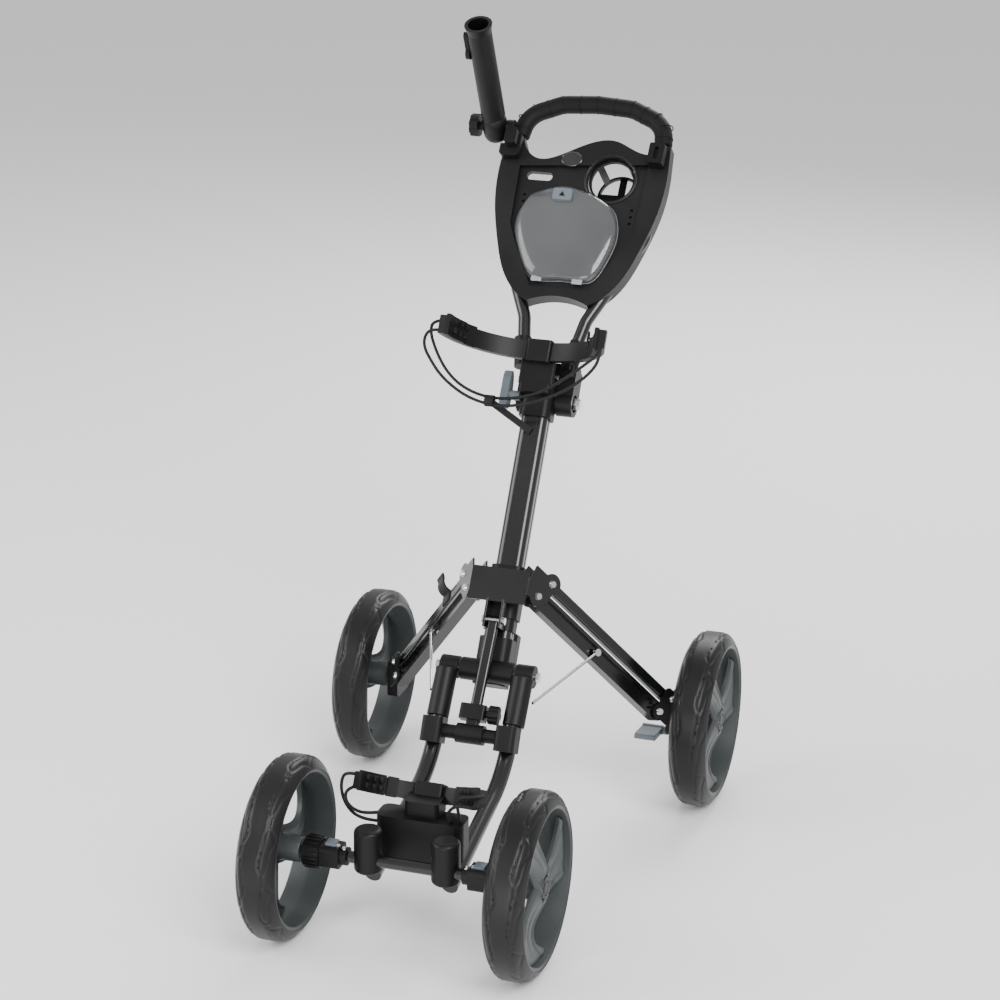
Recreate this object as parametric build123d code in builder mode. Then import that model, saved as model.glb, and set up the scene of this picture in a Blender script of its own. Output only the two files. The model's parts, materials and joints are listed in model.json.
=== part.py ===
"""Four-wheel golf push trolley.

The trolley stands on the floor plane Z = 0 with its front wheels towards -Y and its handle towards +Y.
Its centre plane is X = 0.  Every size is in millimetres.
"""

from build123d import *
from math import cos, radians, sin, tan
import os

# ---------------------------------------------------------------- driving dimensions
REAR_AXLE_Y = 233.5         # rear axle line, placed so that the whole trolley is centred on the origin
WHEELBASE = 646.0
REAR_RADIUS = 145.0
FRONT_RADIUS = 140.0
REAR_TRACK = 581.0          # centre to centre of the rear tyres
FRONT_TRACK = 375.0
TYRE_WIDTH = 62.0

MAST_TILT = 31.2            # mast leans back from vertical
MAST_WIDE, MAST_DEEP = 44.0, 36.0
MAST_FOOT = (0.0, REAR_AXLE_Y - 245.7, 283.0)
MAST_TOP = 478.0            # height of the mast's head along its own line
PIVOT_FORWARD = 24.0        # the fork pivot stands this far in front of the mast line

HANDLE_TILT = 37.3
HANDLE_PIVOT_BACK, HANDLE_PIVOT_UP = 16.0, 452.0
HANDLE_TUBE_R = 10.5
GRIP_R = 15.0

LEG_INNER = (50.0, REAR_AXLE_Y - 194.0, 401.0)      # lower pivot of a leg on the slider
LEG_OUTER = (218.0, REAR_AXLE_Y - 61.0, 172.0)      # lower pivot of a leg on the wheel bracket
BAR_OFFSET = (12.2, 32.5)   # upper pivots from the lower ones, along and across the leg

FORK_TUBE_X = 60.0
FORK_TUBE_R = 13.0
FORK_CORNER = (REAR_AXLE_Y - 361.4, 173.7)
FORK_BEND_R = 150.0
FORK_FOOT = (REAR_AXLE_Y - 625.0, 106.0)
SLEEVE_R = 17.5

FRONT_AXLE_Y = REAR_AXLE_Y - WHEELBASE

# ---------------------------------------------------------------- frames of reference
MAST_UP = Vector(0, sin(radians(MAST_TILT)), cos(radians(MAST_TILT)))
HANDLE_UP = Vector(0, sin(radians(HANDLE_TILT)), cos(radians(HANDLE_TILT)))
HANDLE_FACE = Vector(0, -cos(radians(HANDLE_TILT)), sin(radians(HANDLE_TILT)))
MAST = Plane(origin=MAST_FOOT, x_dir=(1, 0, 0), z_dir=MAST_UP)      # local x, back, up the mast
HANDLE_ROOT = MAST.from_local_coords(Vector(0, 0, MAST_TOP))
HANDLE = Plane(origin=HANDLE_ROOT, x_dir=(1, 0, 0), z_dir=HANDLE_FACE)  # local x, up the handle, out of its face
FORK_PIVOT = MAST.from_local_coords(Vector(0, -PIVOT_FORWARD, 0))
HANDLE_PIVOT = MAST.from_local_coords(Vector(0, HANDLE_PIVOT_BACK, HANDLE_PIVOT_UP))

LEG_DIR = (Vector(*LEG_OUTER) - Vector(*LEG_INNER)).normalized()
LEG_NORMAL = LEG_DIR.cross(MAST_UP).normalized()
LEG_LENGTH = (Vector(*LEG_OUTER) - Vector(*LEG_INNER)).length
LEG = Plane(origin=LEG_INNER, x_dir=LEG_DIR, z_dir=LEG_NORMAL)      # local along, across, out of the leg's face

os.makedirs("parts", exist_ok=True)


def save(builder, name):
    """Labels a finished sub-part and writes it as its own STEP file."""
    builder.part.label = name
    export_step(builder.part, f"parts/{name}.step")


def across(point, z_dir=(1, 0, 0)):
    """A plane at a point whose normal runs across the trolley."""
    return Plane(origin=point, x_dir=(0, 1, 0), z_dir=z_dir)


def mirrored(builder):
    """The left-hand twin of a right-hand sub-part."""
    with BuildPart() as twin:
        add(mirror(builder.part, about=Plane.YZ))
    return twin


# ---------------------------------------------------------------- wheels
RIM_SHARE = 0.865           # the rim's lip radius as a share of the wheel's radius
BARREL = 7.0                # thickness of the rim's barrel
WEB_OUT = 17.0              # the spokes' face stands this far outboard of the wheel's centre plane
HUB_R = 21.0
AXLE_R = 6.0


def tyre(radius, centre):
    """A solid foam tyre with rounded shoulders and two shallow grooves that part its tread."""
    half = TYRE_WIDTH / 2
    seat = radius * RIM_SHARE
    with BuildPart() as part:
        with BuildSketch(Plane.XZ.offset(-centre[1])):
            with BuildLine():
                left = Line((-half + 5, seat), (-half, seat + 6))
                low = Line(left @ 1, (-half, radius - 12))
                crown = ThreePointArc((-half + 9, radius - 3.2), (0, radius), (half - 9, radius - 3.2))
                TangentArc(crown @ 0, low @ 1, tangent=-(crown % 0))
                high = Line((half, radius - 12), (half, seat + 6))
                TangentArc(crown @ 1, high @ 0, tangent=crown % 1)
                foot = Line(high @ 1, (half - 5, seat))
                Line(foot @ 1, left @ 0)
            make_face()
            with Locations((-13, radius - 0.6), (13, radius - 0.6)):
                Rectangle(2.4, 2.6, mode=Mode.SUBTRACT)
        revolve(axis=Axis((0, centre[1], 0), (1, 0, 0)))
    with BuildPart() as placed:
        add(part.part.moved(Location((centre[0], 0, centre[2]))))
    return placed


def rim(radius, centre, side, hub_in=26.0):
    """A three-spoke moulded rim with its barrel, ribbed spokes and hub; side is +1 for a right-hand wheel."""
    seat = radius * RIM_SHARE
    half = TYRE_WIDTH / 2
    inner = seat - BARREL
    plane = Plane(origin=centre, x_dir=(0, 1, 0), z_dir=(side, 0, 0))
    with BuildSketch() as window:
        with BuildLine():
            edge = CenterArc((0, 0), inner - 9, -45, 90)
            Spline(edge @ 1, (HUB_R + 20, 20), (HUB_R + 11, 0), (HUB_R + 20, -20), edge @ 0)
        make_face()
    with BuildPart() as part:
        with BuildSketch(plane.offset(-half + 5)):
            Circle(seat)
        extrude(amount=TYRE_WIDTH - 10)
        with BuildSketch(plane.offset(-half + 5)):
            Circle(inner)
        extrude(amount=TYRE_WIDTH - 10, mode=Mode.SUBTRACT)
        for lip in part.edges().filter_by(GeomType.CIRCLE).group_by(SortBy.RADIUS)[0]:
            chamfer(lip, 2.5)
        with BuildSketch(plane.offset(WEB_OUT - 7)):
            Circle(inner + 1)
            with PolarLocations(0, 3):
                add(window.sketch, mode=Mode.SUBTRACT)
        extrude(amount=9)
        with BuildSketch(plane.offset(WEB_OUT - 12)):
            with PolarLocations(0, 3, start_angle=60):
                with Locations((inner / 2 + 6, 9), (inner / 2 + 6, -9)):
                    Rectangle(inner - HUB_R, 3)
        extrude(amount=6)
        with BuildSketch(plane.offset(-hub_in)):
            Circle(HUB_R)
        extrude(amount=hub_in + WEB_OUT + 4)
        with BuildSketch(plane.offset(WEB_OUT + 4)):
            Circle(HUB_R - 4)
        extrude(amount=4, taper=20)
        with BuildSketch(plane.offset(-hub_in - 1)):
            Circle(AXLE_R + 0.06)
        extrude(amount=hub_in + WEB_OUT - 6, mode=Mode.SUBTRACT)
    return part


for side, hand in ((1, "right"), (-1, "left")):
    rear = (side * REAR_TRACK / 2, REAR_AXLE_Y, REAR_RADIUS)
    front = (side * FRONT_TRACK / 2, FRONT_AXLE_Y, FRONT_RADIUS)
    save(tyre(REAR_RADIUS, rear), f"rear_tyre_{hand}")
    save(rim(REAR_RADIUS, rear, side), f"rear_rim_{hand}")
    save(tyre(FRONT_RADIUS, front), f"front_tyre_{hand}")
    save(rim(FRONT_RADIUS, front, side), f"front_rim_{hand}")

# ---------------------------------------------------------------- mast
with BuildPart() as mast_tube:
    with BuildSketch(MAST.offset(14)):
        RectangleRounded(MAST_WIDE, MAST_DEEP, 11)
        with Locations((-9, -MAST_DEEP / 2), (9, -MAST_DEEP / 2), (-9, MAST_DEEP / 2), (9, MAST_DEEP / 2)):
            Rectangle(3, 2.2, mode=Mode.SUBTRACT)
        with Locations((-MAST_WIDE / 2, 0), (MAST_WIDE / 2, 0)):
            Rectangle(2.2, 4, mode=Mode.SUBTRACT)
        RectangleRounded(MAST_WIDE - 7, MAST_DEEP - 7, 7, mode=Mode.SUBTRACT)
    extrude(amount=MAST_TOP - 22)
    with BuildSketch(across(HANDLE_PIVOT).offset(-40)):
        Circle(5)
    extrude(amount=80, mode=Mode.SUBTRACT)
save(mast_tube, "mast_tube")

DRUM_R = 18.0
with BuildPart() as lower_hinge_housing:
    with BuildSketch(MAST.offset(-20)):
        RectangleRounded(MAST_WIDE + 10, MAST_DEEP + 12, 14)
    extrude(amount=76)
    with BuildSketch(across(FORK_PIVOT).offset(-43)):
        Circle(DRUM_R)
    extrude(amount=86)
    with BuildSketch(MAST.offset(6)):
        with Locations((0, MAST_DEEP / 2 + 20)):
            RectangleRounded(46, 34, 8)
    extrude(amount=66)
    fillet(lower_hinge_housing.faces().sort_by(Axis(MAST_FOOT, MAST_UP))[-1].edges(), 4)
    with BuildSketch(MAST.offset(14)):
        RectangleRounded(MAST_WIDE, MAST_DEEP, 11)
    extrude(amount=60, mode=Mode.SUBTRACT)
    with BuildSketch(across(FORK_PIVOT).offset(-60)):
        Circle(AXLE_R)
    extrude(amount=120, mode=Mode.SUBTRACT)
save(lower_hinge_housing, "lower_hinge_housing")

BOLT_HEAD_X = 80.0
with BuildPart() as mast_bolts:
    with BuildSketch(across(FORK_PIVOT).offset(-BOLT_HEAD_X)):
        Circle(AXLE_R)
    extrude(amount=2 * BOLT_HEAD_X)
    with BuildSketch(across(FORK_PIVOT).offset(BOLT_HEAD_X)):
        RegularPolygon(8, 6)
    extrude(amount=5)
    with BuildSketch(across(FORK_PIVOT).offset(-BOLT_HEAD_X)):
        RegularPolygon(8, 6)
    extrude(amount=-6)
    with BuildSketch(across(HANDLE_PIVOT).offset(-46)):
        Circle(5)
    extrude(amount=104)
    with BuildSketch(across(HANDLE_PIVOT).offset(57)):
        RegularPolygon(9, 6)
    extrude(amount=8)
save(mast_bolts, "mast_bolts")

CLAMP_LOW, CLAMP_HIGH = 418.0, 486.0
with BuildPart() as mast_top_clamp:
    with BuildSketch(MAST.offset(CLAMP_LOW)):
        RectangleRounded(MAST_WIDE + 9, MAST_DEEP + 12, 14)
    extrude(amount=CLAMP_HIGH - CLAMP_LOW)
    with BuildSketch(across(HANDLE_PIVOT).offset(-MAST_WIDE / 2 - 4.5)):
        Circle(19)
    extrude(amount=MAST_WIDE + 9)
    fillet(mast_top_clamp.faces().sort_by(Axis(MAST_FOOT, MAST_UP))[-1].edges(), 3)
    with BuildSketch(MAST.offset(CLAMP_LOW - 1)):
        RectangleRounded(MAST_WIDE, MAST_DEEP, 11)
    extrude(amount=MAST_TOP - 8 - CLAMP_LOW + 1, mode=Mode.SUBTRACT)
    with BuildSketch(across(HANDLE_PIVOT).offset(-40)):
        Circle(5)
    extrude(amount=80, mode=Mode.SUBTRACT)
save(mast_top_clamp, "mast_top_clamp")

# ---------------------------------------------------------------- bag cradles
ARM_THICK = 12.0


def cradle(height, ring_back, ring_r, reach, tall, block_wide, block_deep):
    """A bag cradle across the mast's line: a centre block and two arms along an arc around the bag."""
    ring = MAST.offset(height)
    with BuildPart() as part:
        with BuildSketch(ring):
            with BuildLine():
                outer = CenterArc((0, ring_back), ring_r + ARM_THICK, reach, 180 - 2 * reach)
                inner = CenterArc((0, ring_back), ring_r, reach, 180 - 2 * reach)
                Line(outer @ 0, inner @ 0)
                Line(outer @ 1, inner @ 1)
            make_face()
        extrude(amount=tall)
        with BuildSketch(ring.offset(-3)):
            with Locations((0, ring_back + ring_r + ARM_THICK / 2)):
                RectangleRounded(block_wide, block_deep, 5)
        extrude(amount=tall + 6)
    return part


def cradle_pads(height, ring_back, ring_r, reach, tall):
    """The stepped rubber pads that face the bag at the tips of both arms."""
    ring = MAST.offset(height - 2)
    with BuildPart() as part:
        for step, span, thick in ((reach - 1, 24, 7), (reach + 25, 9, 4)):
            with BuildSketch(ring):
                with BuildLine():
                    outer = CenterArc((0, ring_back), ring_r - 0.2, step, span)
                    inner = CenterArc((0, ring_back), ring_r - thick, step, span)
                    Line(outer @ 0, inner @ 0)
                    Line(outer @ 1, inner @ 1)
                make_face()
            extrude(amount=tall + 4)
        add(mirror(part.part, about=Plane.YZ))
    return part


# each cradle: height up the mast's line, back, inner radius, end angle of its arms, depth of its arms
UPPER_RING = (503.0, -173.0, 125.0, 6.0, 30.0)
LOWER_RING = (-230.0, -329.0, 109.0, 31.0, 26.0)
CLAMP_FRONT = -MAST_DEEP / 2 - 6

with BuildPart() as upper_cradle:
    add(cradle(*UPPER_RING, 42, 24).part)
    with BuildSketch(MAST.offset(452)):
        with Locations((0, CLAMP_FRONT - 9)):
            RectangleRounded(50, 18, 4)
    extrude(amount=14)
    with BuildSketch(MAST.offset(466)):
        with Locations((0, CLAMP_FRONT - 12)):
            RectangleRounded(58, 10, 4)
    extrude(amount=36)
save(upper_cradle, "upper_cradle")

save(cradle_pads(*UPPER_RING), "upper_pads")
save(cradle_pads(*LOWER_RING), "lower_pads")

# ---------------------------------------------------------------- front fork
BAR_Y, BAR_Z, BAR_R = REAR_AXLE_Y - 352.0, 224.0, 11.0
SLEEVE_TOP = (REAR_AXLE_Y - 284.0, 299.0)
SLEEVE_FOOT = (REAR_AXLE_Y - 330.0, 236.0)


def fork_path(x):
    """The centre line of one fork tube, from inside its sleeve down to its kingpin."""
    with BuildLine(mode=Mode.PRIVATE) as path:
        FilletPolyline((x, SLEEVE_FOOT[0] + 6, SLEEVE_FOOT[1] + 12), (x, *FORK_CORNER), (x, *FORK_FOOT),
                       radius=FORK_BEND_R)
    return path


with BuildPart() as fork_tubes:
    for x in (-FORK_TUBE_X, FORK_TUBE_X):
        path = fork_path(x)
        with BuildSketch(Plane(origin=path.line @ 0, z_dir=path.line % 0)):
            Circle(FORK_TUBE_R)
        sweep(path=path.line)
save(fork_tubes, "fork_tubes")

with BuildPart() as fork_sleeves:
    for x in (-FORK_TUBE_X - 2, FORK_TUBE_X + 2):
        top = Vector(x, *SLEEVE_TOP)
        foot = Vector(x, *SLEEVE_FOOT)
        with BuildSketch(Plane(origin=top, x_dir=(1, 0, 0), z_dir=foot - top)):
            Circle(SLEEVE_R)
        extrude(amount=(foot - top).length)
        with BuildSketch(across(FORK_PIVOT).offset(x - 15)):
            Circle(18)
        extrude(amount=30)
    fillet(fork_sleeves.faces().filter_by(GeomType.PLANE).edges().filter_by(GeomType.CIRCLE), 1.5)
    for x in (-FORK_TUBE_X, FORK_TUBE_X):
        path = fork_path(x)
        with BuildSketch(Plane(origin=path.line @ 0, z_dir=path.line % 0)):
            Circle(FORK_TUBE_R)
        extrude(amount=40, mode=Mode.SUBTRACT)
    with BuildSketch(across(FORK_PIVOT).offset(-90)):
        Circle(AXLE_R + 0.06)
    extrude(amount=180, mode=Mode.SUBTRACT)
save(fork_sleeves, "fork_sleeves")

TUBE_FALL = Vector(0, FORK_CORNER[0] - SLEEVE_FOOT[0], FORK_CORNER[1] - SLEEVE_FOOT[1]).normalized()
with BuildPart() as cross_bracket:
    for x in (-FORK_TUBE_X, FORK_TUBE_X):
        seat = Vector(x, BAR_Y + 8, BAR_Z + 18)
        with BuildSketch(Plane(origin=seat, x_dir=(1, 0, 0), z_dir=TUBE_FALL)):
            RectangleRounded(33, 42, 8)
        extrude(amount=40)
    with BuildSketch(across((0, BAR_Y, BAR_Z)).offset(-FORK_TUBE_X)):
        Circle(BAR_R)
    extrude(amount=2 * FORK_TUBE_X)
    for x in (-FORK_TUBE_X, FORK_TUBE_X):
        path = fork_path(x)
        with BuildSketch(Plane(origin=path.line @ 0, z_dir=path.line % 0)):
            Circle(FORK_TUBE_R)
        sweep(path=path.line, mode=Mode.SUBTRACT)
save(cross_bracket, "cross_bracket")

KINGPIN_R, KINGPIN_LOW, KINGPIN_HIGH = 21.5, 120.0, 189.0
FRONT_AXLE_R = 9.0
with BuildPart() as kingpins:
    for x in (-FORK_TUBE_X, FORK_TUBE_X):
        with BuildSketch(Plane((x, FRONT_AXLE_Y + 4, KINGPIN_LOW))):
            Circle(KINGPIN_R)
        extrude(amount=KINGPIN_HIGH - KINGPIN_LOW)
    fillet(kingpins.edges().filter_by(GeomType.CIRCLE), 7)
    for x in (-FORK_TUBE_X, FORK_TUBE_X):
        path = fork_path(x)
        with BuildSketch(Plane(origin=path.line @ 0, z_dir=path.line % 0)):
            Circle(FORK_TUBE_R)
        sweep(path=path.line, mode=Mode.SUBTRACT)
    with BuildSketch(across((0, FRONT_AXLE_Y, FRONT_RADIUS)).offset(-90)):
        Circle(FRONT_AXLE_R)
    extrude(amount=180, mode=Mode.SUBTRACT)
save(kingpins, "kingpins")

AXLE_END = FRONT_TRACK / 2 + 8
with BuildPart() as front_axle:
    with BuildSketch(across((0, FRONT_AXLE_Y, FRONT_RADIUS)).offset(-88)):
        Circle(FRONT_AXLE_R)
    extrude(amount=176)
    with BuildSketch(across((0, FRONT_AXLE_Y, FRONT_RADIUS)).offset(-AXLE_END)):
        Circle(AXLE_R)
    extrude(amount=2 * AXLE_END)
    for x in (-FORK_TUBE_X, FORK_TUBE_X):
        path = fork_path(x)
        with BuildSketch(Plane(origin=path.line @ 0, z_dir=path.line % 0)):
            Circle(FORK_TUBE_R)
        sweep(path=path.line, mode=Mode.SUBTRACT)
save(front_axle, "front_axle")

KNUCKLE_IN, KNUCKLE_OUT = 90.0, 156.0
with BuildPart() as axle_knuckles:
    for side in (-1, 1):
        knuckle = across((side * KNUCKLE_IN, FRONT_AXLE_Y, FRONT_RADIUS), (side, 0, 0))
        with BuildSketch(knuckle):
            Circle(14)
        extrude(amount=10)
        with BuildSketch(knuckle.offset(10)):
            RectangleRounded(36, 34, 7)
        extrude(amount=30)
        with BuildSketch(knuckle.offset(40)):
            Circle(23)
        extrude(amount=KNUCKLE_OUT - KNUCKLE_IN - 40)
        with BuildSketch(knuckle.offset(-1)):
            Circle(AXLE_R)
        extrude(amount=KNUCKLE_OUT - KNUCKLE_IN + 2, mode=Mode.SUBTRACT)
save(axle_knuckles, "axle_knuckles")

TIE_Y, TIE_WIDE = FORK_FOOT[0] + 52, 136.0
with BuildPart() as lower_cradle:
    add(cradle(*LOWER_RING, 46, 30).part)
    with BuildSketch(Plane((0, TIE_Y, FORK_FOOT[1] + 12))):
        RectangleRounded(TIE_WIDE, 44, 12)
    extrude(amount=70)
    with BuildSketch(Plane((0, TIE_Y + 12, FORK_FOOT[1] + 82))):
        RectangleRounded(54, 44, 8)
    extrude(amount=24)
    for x in (-FORK_TUBE_X, FORK_TUBE_X):
        path = fork_path(x)
        with BuildSketch(Plane(origin=path.line @ 0, z_dir=path.line % 0)):
            Circle(FORK_TUBE_R)
        sweep(path=path.line, mode=Mode.SUBTRACT)
save(lower_cradle, "lower_cradle")

# ---------------------------------------------------------------- brace between fork and slider
LUG_FORWARD, LUG_UP = -41.2, 79.0
BRACE_TOP = MAST.from_local_coords(Vector(0, LUG_FORWARD, LUG_UP))
BRACE_FOOT = Vector(0, BAR_Y, BAR_Z)
BRACE_DIR = (BRACE_TOP - BRACE_FOOT).normalized()
BRACE_LENGTH = (BRACE_TOP - BRACE_FOOT).length
BRACE = Plane(origin=BRACE_FOOT, x_dir=(1, 0, 0), z_dir=BRACE_DIR)

with BuildPart() as brace_clamp:
    with BuildSketch(across(BRACE_FOOT).offset(-22)):
        Circle(BAR_R + 4.5)
    extrude(amount=44)
    with BuildSketch(BRACE.offset(8)):
        RectangleRounded(19, 17, 3)
    extrude(amount=16)
    with BuildSketch(BRACE.offset(22)):
        with Locations((-2, 0)):
            RectangleRounded(42, 24, 5)
    extrude(amount=24)
    with BuildSketch(across(BRACE_FOOT).offset(-30)):
        Circle(BAR_R + 0.06)
    extrude(amount=60, mode=Mode.SUBTRACT)
    with BuildSketch(BRACE.offset(30)):
        RectangleRounded(19, 10, 4.9)
    extrude(amount=20, mode=Mode.SUBTRACT)
save(brace_clamp, "brace_clamp")

with BuildPart() as brace_rod:
    with BuildSketch(BRACE.offset(30)):
        RectangleRounded(19, 10, 4.9)
    extrude(amount=BRACE_LENGTH - 34)
save(brace_rod, "brace_rod")

KNOB = Plane(origin=BRACE.from_local_coords(Vector(19.4, -1, 34)), x_dir=(0, 1, 0), z_dir=(1, 0, 0))
with BuildPart() as brace_knob:
    with BuildSketch(KNOB):
        Circle(6)
    extrude(amount=5)
    with BuildSketch(KNOB.offset(5)):
        Circle(15)
        with PolarLocations(16.5, 6):
            Circle(4, mode=Mode.SUBTRACT)
    extrude(amount=15)
    fillet(brace_knob.faces().sort_by(Axis.X)[-1].edges(), 1.5)
save(brace_knob, "brace_knob")

# ---------------------------------------------------------------- slider on the mast
SLIDE_LOW, SLIDE_HIGH = 88.0, 172.0
CHANNEL_HALF = 9.0
PLATE_GAP = 0.6
BAR_PIVOT = Vector(BAR_OFFSET[0], BAR_OFFSET[1])
PIN_R = 4.0
PLATE_THICK = 3.0

with BuildPart() as slider_sleeve:
    with BuildSketch(MAST.offset(SLIDE_LOW)):
        RectangleRounded(MAST_WIDE + 11, MAST_DEEP + 11, 14)
    extrude(amount=SLIDE_HIGH - SLIDE_LOW)
    with BuildSketch(MAST.offset(SLIDE_LOW - 20)):
        RectangleRounded(MAST_WIDE + 5, MAST_DEEP + 5, 12)
    extrude(amount=20)
    with BuildSketch(MAST.offset(SLIDE_LOW - 30)):
        RectangleRounded(MAST_WIDE + 0.8, MAST_DEEP + 0.8, 11.3, mode=Mode.ADD)
    extrude(amount=SLIDE_HIGH - SLIDE_LOW + 60, mode=Mode.SUBTRACT)
save(slider_sleeve, "slider_sleeve")


def leg_plate(out, thick):
    """A plate over a right leg's two inner pivots, standing out of the leg's plane."""
    with BuildPart() as plate:
        with BuildSketch(LEG.offset(out)):
            with Locations((0, 0), BAR_PIVOT):
                Circle(17)
            with Locations((BAR_OFFSET[0] / 2, BAR_OFFSET[1] / 2)):
                Rectangle(30, 36)
            with Locations((-14, 14)):
                Rectangle(30, 50)
        extrude(amount=thick)
    return plate


FRONT_PLATE_BACK, FRONT_PLATE_WIDE = -46.5, 94.0
with BuildPart() as leg_bracket:
    add(leg_plate(CHANNEL_HALF + PLATE_GAP, PLATE_THICK).part)
    add(leg_plate(-CHANNEL_HALF - PLATE_GAP - PLATE_THICK, PLATE_THICK).part)
    add(mirror(leg_bracket.part, about=Plane.YZ))
    with BuildSketch(MAST.offset(108)):
        with Locations((0, FRONT_PLATE_BACK)):
            Rectangle(FRONT_PLATE_WIDE, PLATE_THICK)
    extrude(amount=54)
    for x in (-13, 13):
        with BuildSketch(MAST.offset(66)):
            with Locations((x, -38)):
                RectangleRounded(3.6, 30, 1)
        extrude(amount=46)
    with BuildSketch(MAST.offset(SLIDE_LOW - 32)):
        RectangleRounded(MAST_WIDE + 11.6, MAST_DEEP + 11.6, 14)
    extrude(amount=SLIDE_HIGH - SLIDE_LOW + 60, mode=Mode.SUBTRACT)
    with BuildSketch(across(BRACE_TOP).offset(-30)):
        Circle(3)
    extrude(amount=60, mode=Mode.SUBTRACT)
    with BuildSketch(LEG.offset(-CHANNEL_HALF - 10)):
        with Locations((0, 0), BAR_PIVOT):
            Circle(PIN_R)
    drilled = extrude(amount=2 * CHANNEL_HALF + 20, mode=Mode.PRIVATE)
    add(drilled, mode=Mode.SUBTRACT)
    add(mirror(drilled, about=Plane.YZ), mode=Mode.SUBTRACT)
save(leg_bracket, "leg_bracket")



def leg_pins(centre, low, high):
    """The two rivets through one end of a leg, with domed heads."""
    with BuildPart() as pins:
        for local in ((0, 0), tuple(BAR_OFFSET)):
            foot = LEG.from_local_coords(Vector(centre + local[0], local[1], low))
            with BuildSketch(Plane(origin=foot, z_dir=LEG_NORMAL)):
                Circle(PIN_R)
            extrude(amount=high - low)
            with BuildSketch(Plane(origin=foot + LEG_NORMAL * (high - low), z_dir=LEG_NORMAL)):
                Circle(6.5)
            extrude(amount=3.5, taper=25)
    return pins


PIN_LOW = -CHANNEL_HALF - PLATE_GAP - PLATE_THICK
PIN_HIGH = CHANNEL_HALF + PLATE_GAP + PLATE_THICK
with BuildPart() as leg_bracket_pins:
    add(leg_pins(0, PIN_LOW, PIN_HIGH).part)
    add(mirror(leg_bracket_pins.part, about=Plane.YZ))
    with BuildSketch(across(BRACE_TOP).offset(-17)):
        Circle(3)
    extrude(amount=34)
    for side in (-1, 1):
        with BuildSketch(across(BRACE_TOP + Vector(side * 15, 0, 0), (side, 0, 0))):
            Circle(6)
        extrude(amount=3.5)
save(leg_bracket_pins, "leg_bracket_pins")

# ---------------------------------------------------------------- rear legs
CHANNEL_DEEP = 32.0
with BuildPart() as leg_channel_right:
    with BuildSketch(LEG.offset(-CHANNEL_HALF)):
        with Locations((LEG_LENGTH / 2, 0)):
            SlotOverall(LEG_LENGTH + 30, CHANNEL_DEEP - 2)
    extrude(amount=2 * CHANNEL_HALF)
    with BuildSketch(LEG.offset(CHANNEL_HALF - 5)):
        with Locations((LEG_LENGTH / 2, 0)):
            SlotOverall(LEG_LENGTH - 30, CHANNEL_DEEP - 14)
    extrude(amount=6, mode=Mode.SUBTRACT)
    with BuildSketch(LEG.offset(-CHANNEL_HALF - 1)):
        with Locations((0, 0), (LEG_LENGTH, 0)):
            Circle(PIN_R + 0.06)
    extrude(amount=2 * CHANNEL_HALF + 2, mode=Mode.SUBTRACT)

BAR_HALF = 7.0
with BuildPart() as leg_bar_right:
    with BuildSketch(LEG.offset(-BAR_HALF)):
        with Locations((BAR_OFFSET[0] + LEG_LENGTH / 2, BAR_OFFSET[1])):
            SlotOverall(LEG_LENGTH + 20, 18)
    extrude(amount=2 * BAR_HALF)
    fillet(leg_bar_right.edges().filter_by(GeomType.LINE), 3)
    with BuildSketch(LEG.offset(-CHANNEL_HALF - 1)):
        with Locations(BAR_PIVOT, BAR_PIVOT + Vector(LEG_LENGTH, 0)):
            Circle(PIN_R + 0.06)
    extrude(amount=2 * CHANNEL_HALF + 2, mode=Mode.SUBTRACT)

WHEEL_PLATE_X = 226.0
with BuildPart() as leg_end_right:
    with BuildSketch(LEG.offset(CHANNEL_HALF + PLATE_GAP)):
        with Locations((LEG_LENGTH, 0), (LEG_LENGTH + BAR_OFFSET[0], BAR_OFFSET[1])):
            Circle(13)
        with Locations((LEG_LENGTH + 12, 18)):
            RectangleRounded(38, 54, 6)
    extrude(amount=PLATE_THICK + 1)
    with BuildSketch(across((WHEEL_PLATE_X + 8, REAR_AXLE_Y - 16, REAR_RADIUS + 10))):
        RectangleRounded(58, 62, 9)
    extrude(amount=18)
    with BuildSketch(across((WHEEL_PLATE_X + 24, REAR_AXLE_Y, REAR_RADIUS))):
        Circle(25)
    extrude(amount=9)
    with BuildSketch(LEG.offset(-40)):
        with Locations((LEG_LENGTH, 0)):
            Circle(19)
        with Locations((LEG_LENGTH + BAR_OFFSET[0], BAR_OFFSET[1])):
            Circle(14)
    extrude(amount=40 + CHANNEL_HALF + PLATE_GAP, mode=Mode.SUBTRACT)
    add(leg_pins(LEG_LENGTH, -CHANNEL_HALF - 2, PIN_HIGH + 1).part, mode=Mode.SUBTRACT)
    with BuildSketch(across((WHEEL_PLATE_X + 8, REAR_AXLE_Y, REAR_RADIUS))):
        Circle(AXLE_R)
    extrude(amount=40, mode=Mode.SUBTRACT)

with BuildPart() as leg_end_pins_right:
    add(leg_pins(LEG_LENGTH, -CHANNEL_HALF - 2, PIN_HIGH + 1).part)
    with BuildSketch(across((WHEEL_PLATE_X + 14, REAR_AXLE_Y, REAR_RADIUS))):
        Circle(AXLE_R)
    extrude(amount=REAR_TRACK / 2 + 8 - WHEEL_PLATE_X - 14)

RIGHT_LEG = ((leg_channel_right, "leg_channel"), (leg_bar_right, "leg_bar"), (leg_end_right, "leg_end"),
             (leg_end_pins_right, "leg_end_pins"))
for builder, name in RIGHT_LEG:
    save(builder, f"{name}_right")
    save(mirrored(builder), f"{name}_left")

# ---------------------------------------------------------------- handle
CHEEK_IN, LEFT_CHEEK, RIGHT_CHEEK = 27.5, 38.0, 55.0
BRIDGE_LOW = 490.5


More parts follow.
